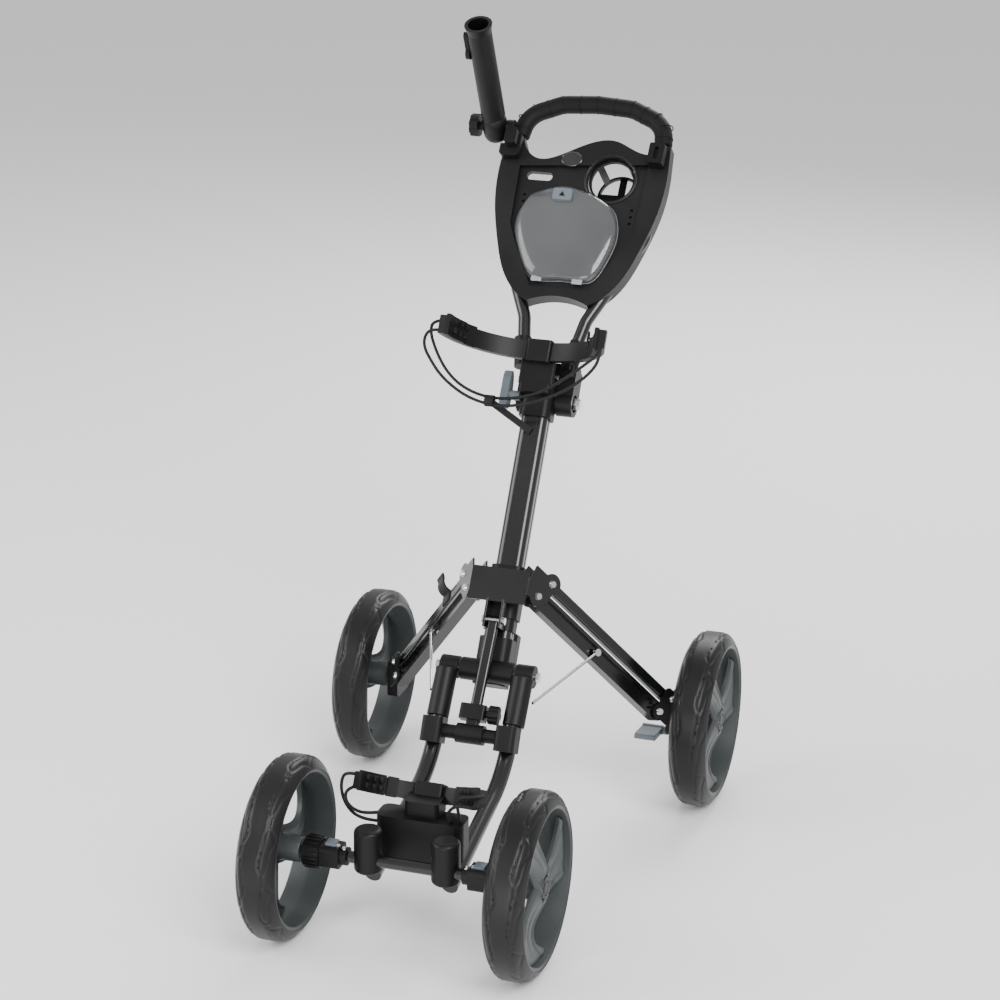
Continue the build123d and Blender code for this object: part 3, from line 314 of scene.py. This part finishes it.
def modify(kind: str, **values: object) -> None:
    """Adds a modifier to the active object and applies it.

    Args:
        kind: The modifier's type.
        values: Its settings.
    """
    piece = bpy.context.object
    modifier = piece.modifiers.new(kind.lower(), kind)
    for key, value in values.items():
        setattr(modifier, key, value)
    bpy.ops.object.modifier_apply(modifier=modifier.name)


def turned(profile: list[tuple[float, float]], at: Vector, axis: Vector, steps: int = 64,
           closed: bool = False) -> bpy.types.Object:
    """Turns a profile about an axis, as on a lathe.

    Args:
        profile: Radius and height pairs along the axis.
        at: The place where the height is zero.
        axis: The axis's direction.
        steps: How many sides the turning has.
        closed: True if the profile runs back to its start, as a ring's does.

    Returns:
        The new object, active and selected.
    """
    deselect()
    turn = axis.to_track_quat("Z", "Y").to_matrix()
    radius, height = profile[0]
    bpy.ops.mesh.primitive_circle_add(vertices=steps, radius=radius, location=at + axis * height,
                                      rotation=turn.to_euler())
    piece = bpy.context.object
    bpy.ops.object.mode_set(mode="EDIT")
    stations = list(profile[1:]) + ([profile[0]] if closed else [])
    for next_radius, next_height in stations:
        bpy.ops.mesh.extrude_edges_move(TRANSFORM_OT_translate={"value": axis * (next_height - height)})
        factor = next_radius / radius
        bpy.ops.transform.resize(value=(factor, factor, factor), center_override=at + axis * next_height)
        radius, height = next_radius, next_height
    if not closed:
        bpy.ops.mesh.edge_face_add()
        bpy.ops.object.mode_set(mode="OBJECT")
        first = piece.matrix_world.inverted() @ (at + axis * profile[0][1])
        for vertex in piece.data.vertices:
            offset = vertex.co - first
            vertex.select = abs(offset.z) < 1e-6 and abs(offset.length - profile[0][0]) < 1e-6
        bpy.ops.object.mode_set(mode="EDIT")
        bpy.ops.mesh.select_mode(type="VERT")
        bpy.ops.mesh.edge_face_add()
    bpy.ops.object.mode_set(mode="OBJECT")
    return piece


def gridded(across: int, along: int, place: Callable[[float, float], Vector], name: str) -> bpy.types.Object:
    """A grid whose points are moved onto a surface by a formula.

    Args:
        across: Its number of cells in the first direction.
        along: Its number of cells in the second.
        place: Gives the place of a point from its two shares, each 0 to 1.
        name: The object's name.

    Returns:
        The new object, active and selected.
    """
    deselect()
    bpy.ops.mesh.primitive_grid_add(x_subdivisions=across, y_subdivisions=along, size=2.0, location=(0, 0, 0))
    piece = bpy.context.object
    piece.name = name
    for vertex in piece.data.vertices:
        vertex.co = place((vertex.co.x + 1) / 2, (vertex.co.y + 1) / 2)
    return piece


def block(size: Point, at: Vector, axes: tuple[Vector, Vector, Vector], bevel: float = 0.001,
          segments: int = 3) -> bpy.types.Object:
    """A rounded block on its own axes.

    Args:
        size: Its three side lengths.
        at: Its middle.
        axes: Its three directions.
        bevel: The radius of its edges.
        segments: How many steps each rounded edge has.

    Returns:
        The new object, active and selected.
    """
    deselect()
    bpy.ops.mesh.primitive_cube_add(size=1.0)
    piece = bpy.context.object
    columns = [axis * length for axis, length in zip(axes, size)]
    turn = Matrix([[column[row] for column in columns] for row in range(3)]).to_4x4()
    piece.matrix_world = Matrix.Translation(at) @ turn
    bpy.ops.object.transform_apply(location=True, rotation=True, scale=True)
    modify("BEVEL", width=bevel, segments=segments)
    return piece


@dataclass
class Wheel:
    """One wheel: a moulded foam tyre on a rim with three sweeping spokes."""

    axle: str
    hand: Hand
    radius: float
    width: float = 0.062
    waves: int = 10
    seat_share: float = 0.865
    groove_deep: float = 0.0019
    sweep: float = 0.62
    spoke_thick: float = 0.007

    @property
    def node(self) -> str:
        """The shared part of this wheel's node names."""
        return f"{self.axle}_{{}}_{self.hand.word}"

    @property
    def body(self) -> str:
        """The body that the wheel rides on."""
        return f"{self.axle}_wheel_{self.hand.word}"

    @cached_property
    def centre(self) -> Vector:
        """The middle of the wheel, from its tyre's box."""
        low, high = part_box(self.node.format("tyre"))
        return (Vector(low) + Vector(high)) / 2

    def spot(self, turn: float, radius: float, out: float) -> Vector:
        """A point of the wheel from its turn, its radius and its distance outboard."""
        side = self.hand.value
        return self.centre + Vector((side * out, radius * math.cos(turn), radius * math.sin(turn)))

    def tread_radius(self, share: float) -> float:
        """The tyre's radius across its width, from share -1 to 1, round at its shoulders."""
        edge = max(0.0, abs(share) - 0.3) / 0.7
        return self.radius - 0.0008 - 0.0185 * edge ** 2.6

    def groove(self, turn: float, share: float) -> float:
        """The depth of the two flowing wave lines on each shoulder, at one place of the tread."""
        reach = abs(share)
        lead = 0.5 if share > 0 else 0.0
        depth = 0.0
        for middle, swing, shift, wide in ((0.72, 0.17, 0.0, 0.055), (0.47, 0.13, 0.28, 0.04)):
            wave = (turn * self.waves / math.tau + lead + shift) * math.tau
            line = middle + swing * math.sin(wave + 0.85 * math.sin(wave))
            depth = max(depth, math.exp(-((reach - line) / wide) ** 2))
        return depth * self.groove_deep

    def tyre(self) -> None:
        """Builds the tyre with its moulded grooves in place of the plain ring."""
        half = self.width / 2
        seat = self.radius * self.seat_share

        def place(around: float, over: float) -> Vector:
            turn = around * math.tau
            if over < 0.12 or over > 0.88:
                side = -1.0 if over < 0.5 else 1.0
                share = (over / 0.12) if over < 0.5 else ((1.0 - over) / 0.12)
                low, high = seat, self.tread_radius(1.0)
                out = half - 0.004 * (1.0 - share) ** 2
                return self.spot(turn, low + (high - low) * share, side * out)
            share = (over - 0.5) / 0.38
            line = math.sin(share * math.pi / 2)
            radius = self.tread_radius(line) - self.groove(turn, line)
            return self.spot(turn, radius, half * line)

        piece = gridded(640, 56, place, "tyre")
        settle(self.node.format("tyre") + "_moulded", self.body, TYRE, 60.0)
        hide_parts(self.node.format("tyre"))

    def barrel(self) -> None:
        """Builds the rim's barrel with its rolled lips."""
        seat = self.radius * self.seat_share + 0.0002
        half = self.width / 2 - 0.001
        profile = [(seat, -half), (seat - 0.0035, -half - 0.0004), (seat - 0.0062, -half + 0.0015),
                   (seat - 0.0068, -half + 0.006), (seat - 0.0095, -0.004), (seat - 0.0095, 0.004),
                   (seat - 0.0068, half - 0.006), (seat - 0.0062, half - 0.0015), (seat - 0.0035, half + 0.0004),
                   (seat, half)]
        piece = turned(profile, self.centre, ACROSS * self.hand.value, 144, closed=True)
        settle(self.node.format("rim") + "_barrel", self.body, RIM)
        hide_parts(self.node.format("rim"))

    def spokes(self) -> None:
        """Builds the three broad spokes, dished and swept, with raised borders and a middle crease."""
        root, tip = 0.017, self.radius * self.seat_share - 0.0085

        def spoke(start: float) -> Callable[[float, float], Vector]:
            def place(over: float, along: float) -> Vector:
                radius = root + (tip - root) * along
                share = over * 2.0 - 1.0
                half = 0.019 + 0.012 * (1.0 - along) ** 2 + 0.038 * along ** 3.2
                turn = start + self.sweep * along ** 1.25 + share * half / radius
                out = 0.019 - 0.013 * math.sin(math.pi * min(1.0, along * 1.05)) * 0.7 - 0.006 * along
                border = math.exp(-((abs(share) - 0.86) / 0.09) ** 2) * 0.0022
                crease = -math.exp(-(share / 0.16) ** 2) * 0.0018 * math.sin(math.pi * along)
                return self.spot(turn, radius, out + border + crease)
            return place

        pieces = []
        for number in range(3):
            gridded(26, 40, spoke(math.radians(95) + number * math.tau / 3), "spoke")
            modify("SOLIDIFY", thickness=self.spoke_thick, offset=-1.0 * self.hand.value)
            pieces.append(bpy.context.object)
        deselect()
        for piece in pieces:
            piece.select_set(True)
        bpy.context.view_layer.objects.active = pieces[0]
        bpy.ops.object.join()
        settle(self.node.format("rim") + "_spokes", self.body, RIM)

    def hub(self) -> None:
        """Builds the hub's sleeve and its domed outer cap."""
        inner = -0.0255
        profile = [(0.0066, inner), (0.0185, inner), (0.0195, inner + 0.002), (0.0205, 0.004), (0.0215, 0.018),
                   (0.0195, 0.0215), (0.0066, 0.0225)]
        turned(profile, self.centre, ACROSS * self.hand.value, 64, closed=True)
        settle(self.node.format("rim") + "_hub", self.body, RIM)
        cap = [(0.0172, 0.0226), (0.0172, 0.0246), (0.0158, 0.0262), (0.0125, 0.0264), (0.0118, 0.0256),
               (0.0095, 0.0256), (0.0088, 0.0266), (0.002, 0.0272)]
        turned(cap, self.centre, ACROSS * self.hand.value, 48)
        settle(self.node.format("rim") + "_cap", self.body, PLASTIC)

    def build(self) -> None:
        """Builds the wheel's pieces in order."""
        self.tyre()
        self.barrel()
        self.spokes()
        self.hub()


@dataclass
class FrontHub:
    """The quick release beside one front wheel: ribbed ring, grey button and two screws."""

    hand: Hand
    axle: Point = (0.0, REAR_AXLE_Y - 0.646, 0.14)
    ribs: int = 20

    def at(self, x: float, y: float = 0.0, z: float = 0.0) -> Vector:
        """A point beside the axle, x being its distance from the trolley's middle."""
        return Vector(self.axle) + Vector((self.hand.value * x, y, z))

    def build(self) -> None:
        """Builds the ribs, the button and the screws."""
        axis = ACROSS * self.hand.value
        pieces = []
        for number in range(self.ribs):
            turn = number * math.tau / self.ribs
            outward = Vector((0.0, math.cos(turn), math.sin(turn)))
            pieces.append(block((0.022, 0.0026, 0.0036), self.at(0.143) + outward * 0.0236,
                                (axis, outward.cross(axis), outward), 0.0008, 2))
        deselect()
        for piece in pieces:
            piece.select_set(True)
        bpy.context.view_layer.objects.active = pieces[0]
        bpy.ops.object.join()
        settle(f"front_hub_ribs_{self.hand.word}", "fork", PLASTIC)
        block((0.017, 0.019, 0.006), self.at(0.115, 0.0, 0.0185),
              (axis, Vector((0, 1, 0)), Vector((0, 0, 1))), 0.0015)
        settle(f"front_hub_button_{self.hand.word}", "fork", GREY)
        for place, x in (("inner", 0.095), ("outer", 0.105)):
            head = [(0.0042, 0.0), (0.0042, 0.0016), (0.003, 0.0026), (0.0018, 0.0027), (0.0016, 0.0018),
                    (0.0004, 0.0018)]
            lift = 0.0135 if place == "inner" else 0.0165
            turned(head, self.at(x, -0.004, lift), Vector((0, 0, 1)), 24)
            settle(f"front_hub_screw_{place}_{self.hand.word}", "fork", STEEL)


@dataclass
class Grip:
    """The seams and end collars of the handle's foam grip."""

    radius: float = 0.015
    seams: tuple[tuple[float, float, float, float], ...] = (
        (0.1215, 0.444, -0.13, 1.0), (0.1185, 0.463, -0.3, 1.0), (0.104, 0.4762, -0.9, 0.42),
        (0.082, 0.4858, -1.0, 0.42), (0.06, 0.4946, -1.0, 0.25), (0.03, 0.497, -1.0, 0.07),
        (0.0, 0.4988, -1.0, 0.0))

    def build(self) -> None:
        """Builds the raised rings along the grip, the same on both sides."""
        ring = [(self.radius - 0.0004, -0.0011), (self.radius + 0.0007, -0.0006), (self.radius + 0.0007, 0.0006),
                (self.radius - 0.0004, 0.0011), (self.radius - 0.0012, 0.0)]
        pieces = []
        for x, up, run_x, run_up in self.seams:
            for side in ((1, -1) if x else (1,)):
                axis = (ACROSS * run_x * side + HANDLE_UP * run_up).normalized()
                pieces.append(turned(ring, on_handle(side * x, up, 0.0), axis, 40, closed=True))
        deselect()
        for piece in pieces:
            piece.select_set(True)
        bpy.context.view_layer.objects.active = pieces[0]
        bpy.ops.object.join()
        settle("grip_seams", "handle", FOAM)


@dataclass
class Console:
    """The small fittings on the console's face."""

    axes: tuple[Vector, Vector, Vector] = field(default_factory=lambda: (ACROSS, HANDLE_UP, HANDLE_FACE))

    def cup_lip(self) -> None:
        """Builds the rounded lip around the cup hole."""
        lip = [(0.0401, 0.0), (0.0405, 0.0018), (0.0425, 0.0026), (0.0452, 0.0016), (0.0456, 0.0)]
        turned(lip, on_handle(0.048, 0.363, 0.0071), HANDLE_FACE, 72, closed=True)
        settle("cup_hole_lip", "handle", CONSOLE)

    def badge(self) -> None:
        """Builds the plain oval badge, with a raised rim and no mark on it."""
        rim = [(0.0135, 0.0), (0.0135, 0.0022), (0.0125, 0.003), (0.0115, 0.0022), (0.0112, 0.0016),
        (0.001, 0.002)]
        piece = turned(rim, on_handle(-0.022, 0.39, 0.0148), HANDLE_FACE, 56)
        centre = on_handle(-0.022, 0.39, 0.0148)
        deselect()
        piece.select_set(True)
        bpy.context.view_layer.objects.active = piece
        bpy.ops.object.mode_set(mode="EDIT")
        bpy.ops.mesh.select_all(action="SELECT")
        bpy.ops.transform.resize(value=(1.35, 1.0, 1.0), center_override=centre)
        settle("console_badge", "handle", BADGE)

    def latch_mark(self) -> None:
        """Builds the dark thumb wedge on the latch."""
        turned([(0.0052, 0.0), (0.005, 0.0016), (0.0012, 0.0019)], on_handle(-0.022, 0.319, 0.0302),
               HANDLE_FACE, 3)
        settle("latch_wedge", "latch", PLASTIC)

    def hinge_tabs(self) -> None:
        """Builds the two clear knuckles at the foot of the scorecard cover."""
        for number, x in enumerate((-0.041, 0.028)):
            block((0.0175, 0.009, 0.0035), on_handle(x, 0.1735, 0.0155), self.axes, 0.0012)
            settle(f"cover_knuckle_{number}", "cover", CLEAR_AND_HIGHLIGHT)

    def build(self) -> None:
        """Builds every fitting."""
        self.cup_lip()
        self.badge()
        self.latch_mark()
        self.hinge_tabs()


@dataclass
class ScorecardCover:
    """The domed see-through cover over the scorecard, with a painted highlight along its edge."""

    outline: tuple[tuple[float, float], ...] = (
        (-0.052, 0.1745), (0.0, 0.1735), (0.05, 0.1765), (0.071, 0.216), (0.0795, 0.262), (0.0665, 0.304),
        (0.034, 0.327), (0.0, 0.339), (-0.03, 0.3435), (-0.066, 0.332), (-0.087, 0.3165), (-0.0985, 0.268),
        (-0.082, 0.217))
    middle: tuple[float, float] = (-0.009, 0.258)
    low: float = 0.0077
    high: float = 0.0236

    def edge(self, turn: float) -> tuple[float, float]:
        """A point of the outline, as a smooth closed curve through its corners."""
        count = len(self.outline)
        whole = (turn % 1.0) * count
        index, share = int(whole), whole - int(whole)
        a, b, c, d = (Vector((*self.outline[(index + step) % count], 0.0)) for step in (-1, 0, 1, 2))
        point = 0.5 * (2 * b + (c - a) * share + (2 * a - 5 * b + 4 * c - d) * share ** 2
                       + (3 * b - a - 3 * c + d) * share ** 3)
        return point.x, point.y

    def place(self, around: float, inward: float) -> Vector:
        """A point of the dome from its share around the edge and its share in from it."""
        x, up = self.edge(around)
        reach = 1.0 - inward
        lift = (1.0 - reach ** 7) ** (1 / 2.2)
        draw = reach * 0.985
        return on_handle(self.middle[0] + (x - self.middle[0]) * draw,
                         self.middle[1] + (up - self.middle[1]) * draw,
                         self.low + (self.high - self.low) * lift)

    def build(self) -> None:
        """Builds the dome and a rim tube along its edge, whose light colour is a painted highlight."""
        gridded(130, 26, self.place, "cover_dome")
        modify("WELD", merge_threshold=0.00002)
        modify("SOLIDIFY", thickness=0.0016, offset=0.0)
        piece = settle("scorecard_cover_dome", "cover", SMOKE, 50.0)
        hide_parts("scorecard_cover")

        def rim(around: float, over: float) -> Vector:
            x, up = self.edge(around)
            turn = over * math.tau
            return on_handle(self.middle[0] + (x - self.middle[0]) * (0.985 + 0.008 * math.cos(turn)),
                             self.middle[1] + (up - self.middle[1]) * (0.985 + 0.008 * math.cos(turn)),
                             self.low + 0.0009 + 0.0008 * math.sin(turn))

        # The rim tube follows the cover's real edge; its light clear colour is a painted highlight along that
        # edge.
        gridded(130, 12, rim, "cover_rim")
        settle("scorecard_cover_rim", "cover", CLEAR_AND_HIGHLIGHT)


@dataclass
class StorageClip:
    """The open clip on the left leg's upper bar, which holds that leg when folded."""

    start: Point = (-0.05, 0.0395, 0.401)
    along: Point = (-0.535, 0.4236, -0.729)
    across: Point = (-0.2367, 0.7533, 0.6114)
    station: float = 0.098
    lift: float = 0.06
    radius: float = 0.0175

    def build(self) -> None:
        """Builds the clip's open ring and its saddle on the bar."""
        run, up = Vector(self.along).normalized(), Vector(self.across).normalized()
        side = run.cross(up)
        centre = Vector(self.start) + run * self.station + up * self.lift

        def ring(around: float, over: float) -> Vector:
            turn = math.radians(-215 + 250 * around)
            flare = 1.0 + 0.35 * (max(0.0, abs(around - 0.5) - 0.4) / 0.1) ** 2
            out = (up * math.sin(turn) + side * math.cos(turn)) * self.radius * flare
            return centre + out + run * (over - 0.5) * 0.024

        gridded(48, 6, ring, "clip")
        modify("SOLIDIFY", thickness=0.0034, offset=0.0)
        modify("BEVEL", width=0.0007, segments=2)
        settle("storage_clip_ring", "bar_left", PLASTIC)
        block((0.03, 0.018, 0.019), centre - up * (self.radius + 0.0085), (run, up, side), 0.0025)
        settle("storage_clip_saddle", "bar_left", PLASTIC)


@dataclass
class CradlePads:
    """The square studs on the arms of one bag cradle."""

    name: str
    body: str
    height: float
    ring_back: float
    radius: float
    reach: float
    tall: float

    def build(self) -> None:
        """Builds the studs, two rows at each arm's tip and a step where the arm thickens."""
        pieces = []
        for side in (1, -1):
            for turn, rows in ((self.reach + 3.5, 2), (self.reach + 11.0, 2), (self.reach + 18.0, 2)):
                angle = math.radians(turn)
                out = ACROSS * (side * math.cos(angle)) + MAST_BACK * math.sin(angle)
                along = MAST_UP.cross(out)
                for row in range(rows):
                    up = self.height + self.tall * (0.27 + 0.46 * row)
                    middle = on_mast(side * self.radius * math.cos(angle),
                                     self.ring_back + self.radius * math.sin(angle), up)
                    for face in (1.0, -1.0):
                        reach = 0.0005 if face > 0 else 0.0194
                        pieces.append(block((0.0034, 0.0078, 0.0078), middle + out * face * reach,
                                            (out, along, MAST_UP), 0.0012, 2))
        deselect()
        for piece in pieces:
            piece.select_set(True)
        bpy.context.view_layer.objects.active = pieces[0]
        bpy.ops.object.join()
        settle(f"{self.name}_studs", self.body, RUBBER)


@dataclass
class ElasticCord:
    """One elastic cord: its node, its body and the route that it hangs in."""

    node: str
    body: str
    route: tuple[Point, ...]
    length: float
    diameter: float = 0.005

    def build(self) -> None:
        """Builds the cord as one smooth round curve."""
        curve = bpy.data.curves.new(self.node + "_line", "CURVE")
        curve.dimensions = "3D"
        curve.bevel_depth = self.diameter / 2
        curve.bevel_resolution = 4
        curve.use_fill_caps = True
        curve.resolution_u = 10
        line = curve.splines.new("NURBS")
        line.points.add(len(self.route) - 1)
        for point, (x, y, z) in zip(line.points, self.route):
            point.co = (x / 1000, y / 1000 + REAR_AXLE_Y, z / 1000, 1.0)
        line.order_u = 3
        line.use_endpoint_u = True
        piece = bpy.data.objects.new(self.node + "_line", curve)
        bpy.context.collection.objects.link(piece)
        curve.materials.append(CORD.material())
        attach(piece, self.body)
        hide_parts(self.node)
        LOG.info("%s hangs over %d points", self.node, len(self.route))


CORDS = (
    ElasticCord("upper_cord_a", "mast", (
        (-133, -103, 811), (-150, -105, 809), (-152, -107, 790), (-147, -105, 770), (-140, -102, 750),
        (-129, -98, 728), (-112, -92, 707), (-88, -86, 692), (-60, -82, 685), (-30, -82, 686), (0, -84, 694),
        (30, -89, 707), (58, -95, 727), (84, -101, 747), (104, -106, 764), (119, -108, 777),
        (127, -106, 789)), 0.409),
    ElasticCord("upper_cord_b", "mast", (
        (-134, -110, 797), (-149, -115, 799), (-160, -115, 785), (-161, -112, 766), (-152, -109, 747),
        (-139, -106, 725), (-119, -101, 704), (-93, -95, 686), (-62, -90, 676), (-30, -90, 676), (2, -93, 684),
        (34, -98, 697), (66, -103, 714), (95, -108, 735), (116, -114, 756), (128, -118, 776),
        (130, -118, 796)), 0.438),
    ElasticCord("lower_cord_left_a", "fork", (
        (-100, -577, 240), (-118, -583, 246), (-123, -590, 229), (-119, -592, 205), (-106, -590, 183),
        (-87, -584, 172), (-67, -578, 170)), 0.128),
    ElasticCord("lower_cord_left_b", "fork", (
        (-99, -586, 226), (-112, -596, 224), (-112, -601, 207), (-100, -597, 192), (-84, -588, 184),
        (-67, -577, 184)), 0.0905),
    ElasticCord("lower_cord_right_a", "fork", (
        (100, -588, 242), (99, -607, 247), (85, -616, 250), (72, -612, 244), (65, -606, 229), (64, -597, 211),
        (62, -580, 187)), 0.1156),
    ElasticCord("lower_cord_right_b", "fork", (
        (101, -594, 228), (98, -614, 231), (83, -623, 237), (67, -621, 235), (55, -615, 222), (49, -603, 206),
        (48, -582, 187)), 0.1202),
)


def dress_frame(frame: dict) -> None:
    """Gives every node that is kept from the frame its finish.

    Args:
        frame: The loaded frame.
    """
    slots = {part["node"]: part["material_slot"] for part in frame["record"]["subparts"]}
    for node, slot in slots.items():
        finish = CONSOLE if node == "console" else NODE_FINISH[slot]
        thing = bpy.data.objects[node]
        thing.data.materials.clear()
        thing.data.materials.append(finish.material())


@dataclass
class Studio:
    """The floor, the lights and the camera."""

    eye: Point = (1.1854, -3.8889 + REAR_AXLE_Y, 1.9175)
    aim: Point = (-0.2897, 0.8981, -0.331)
    head: Point = (-0.11, 0.3122, 0.9436)
    lens: float = 94.73

    def floor(self) -> None:
        """Lays the pale flat floor."""
        deselect()
        bpy.ops.mesh.primitive_plane_add(size=14.0, location=(0, 2.5, 0))
        floor = bpy.context.object
        floor.name = "studio_floor"
        material = bpy.data.materials.new("studio_floor")
        material.use_nodes = True
        shader = material.node_tree.nodes["Principled BSDF"]
        shader.inputs["Base Color"].default_value = (0.9, 0.9, 0.9, 1.0)
        shader.inputs["Roughness"].default_value = 0.9
        floor.data.materials.append(material)

    def light(self, name: str, at: Point, size: float, power: float) -> None:
        """Hangs one soft square light that faces the trolley."""
        lamp = bpy.data.lights.new(name, "AREA")
        lamp.size = size
        lamp.energy = power
        thing = bpy.data.objects.new(name, lamp)
        thing.location = at
        thing.rotation_euler = (Vector((0, 0, 0.5)) - Vector(at)).to_track_quat("-Z", "Y").to_euler()
        bpy.context.collection.objects.link(thing)

    def camera(self) -> None:
        """Sets the camera."""
        data = bpy.data.cameras.new("studio_camera")
        data.lens = self.lens
        data.sensor_width = 36.0
        camera = bpy.data.objects.new("studio_camera", data)
        aim, head = Vector(self.aim).normalized(), Vector(self.head).normalized()
        right = aim.cross(head).normalized()
        head = right.cross(aim)
        camera.matrix_world = Matrix.Translation(self.eye) @ Matrix((right, head, -aim)).transposed().to_4x4()
        bpy.context.collection.objects.link(camera)
        bpy.context.scene.camera = camera

    def build(self) -> None:
        """Builds the studio."""
        self.floor()
        self.light("key", (2.4, -2.6, 3.4), 2.2, 190.0)
        self.light("fill", (-3.2, -1.6, 2.2), 2.6, 110.0)
        self.light("back", (0.4, 3.2, 2.8), 2.4, 120.0)
        self.light("front", (0.2, -3.6, 0.8), 1.6, 45.0)
        self.camera()
        world = bpy.data.worlds.new("studio_world")
        world.use_nodes = True
        world.node_tree.nodes["Background"].inputs["Color"].default_value = (1.0, 1.0, 1.0, 1.0)
        world.node_tree.nodes["Background"].inputs["Strength"].default_value = 0.8
        bpy.context.scene.world = world


def main() -> None:
    """Builds the whole scene."""
    logging.basicConfig(level=logging.INFO, format="%(name)s %(message)s")
    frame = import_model()
    dress_frame(frame)
    for axle, radius in (("rear", 0.145), ("front", 0.14)):
        for hand in Hand:
            Wheel(axle, hand, radius).build()
    for hand in Hand:
        FrontHub(hand).build()
    Grip().build()
    Console().build()
    ScorecardCover().build()
    StorageClip().build()
    CradlePads("upper_cradle", "mast", 0.503, -0.173, 0.1285, 6.0, 0.03).build()
    CradlePads("lower_cradle", "fork", -0.23, -0.329, 0.1125, 31.0, 0.026).build()
    for cord in CORDS:
        cord.build()
    Studio().build()


if __name__ == "__main__":
    main()
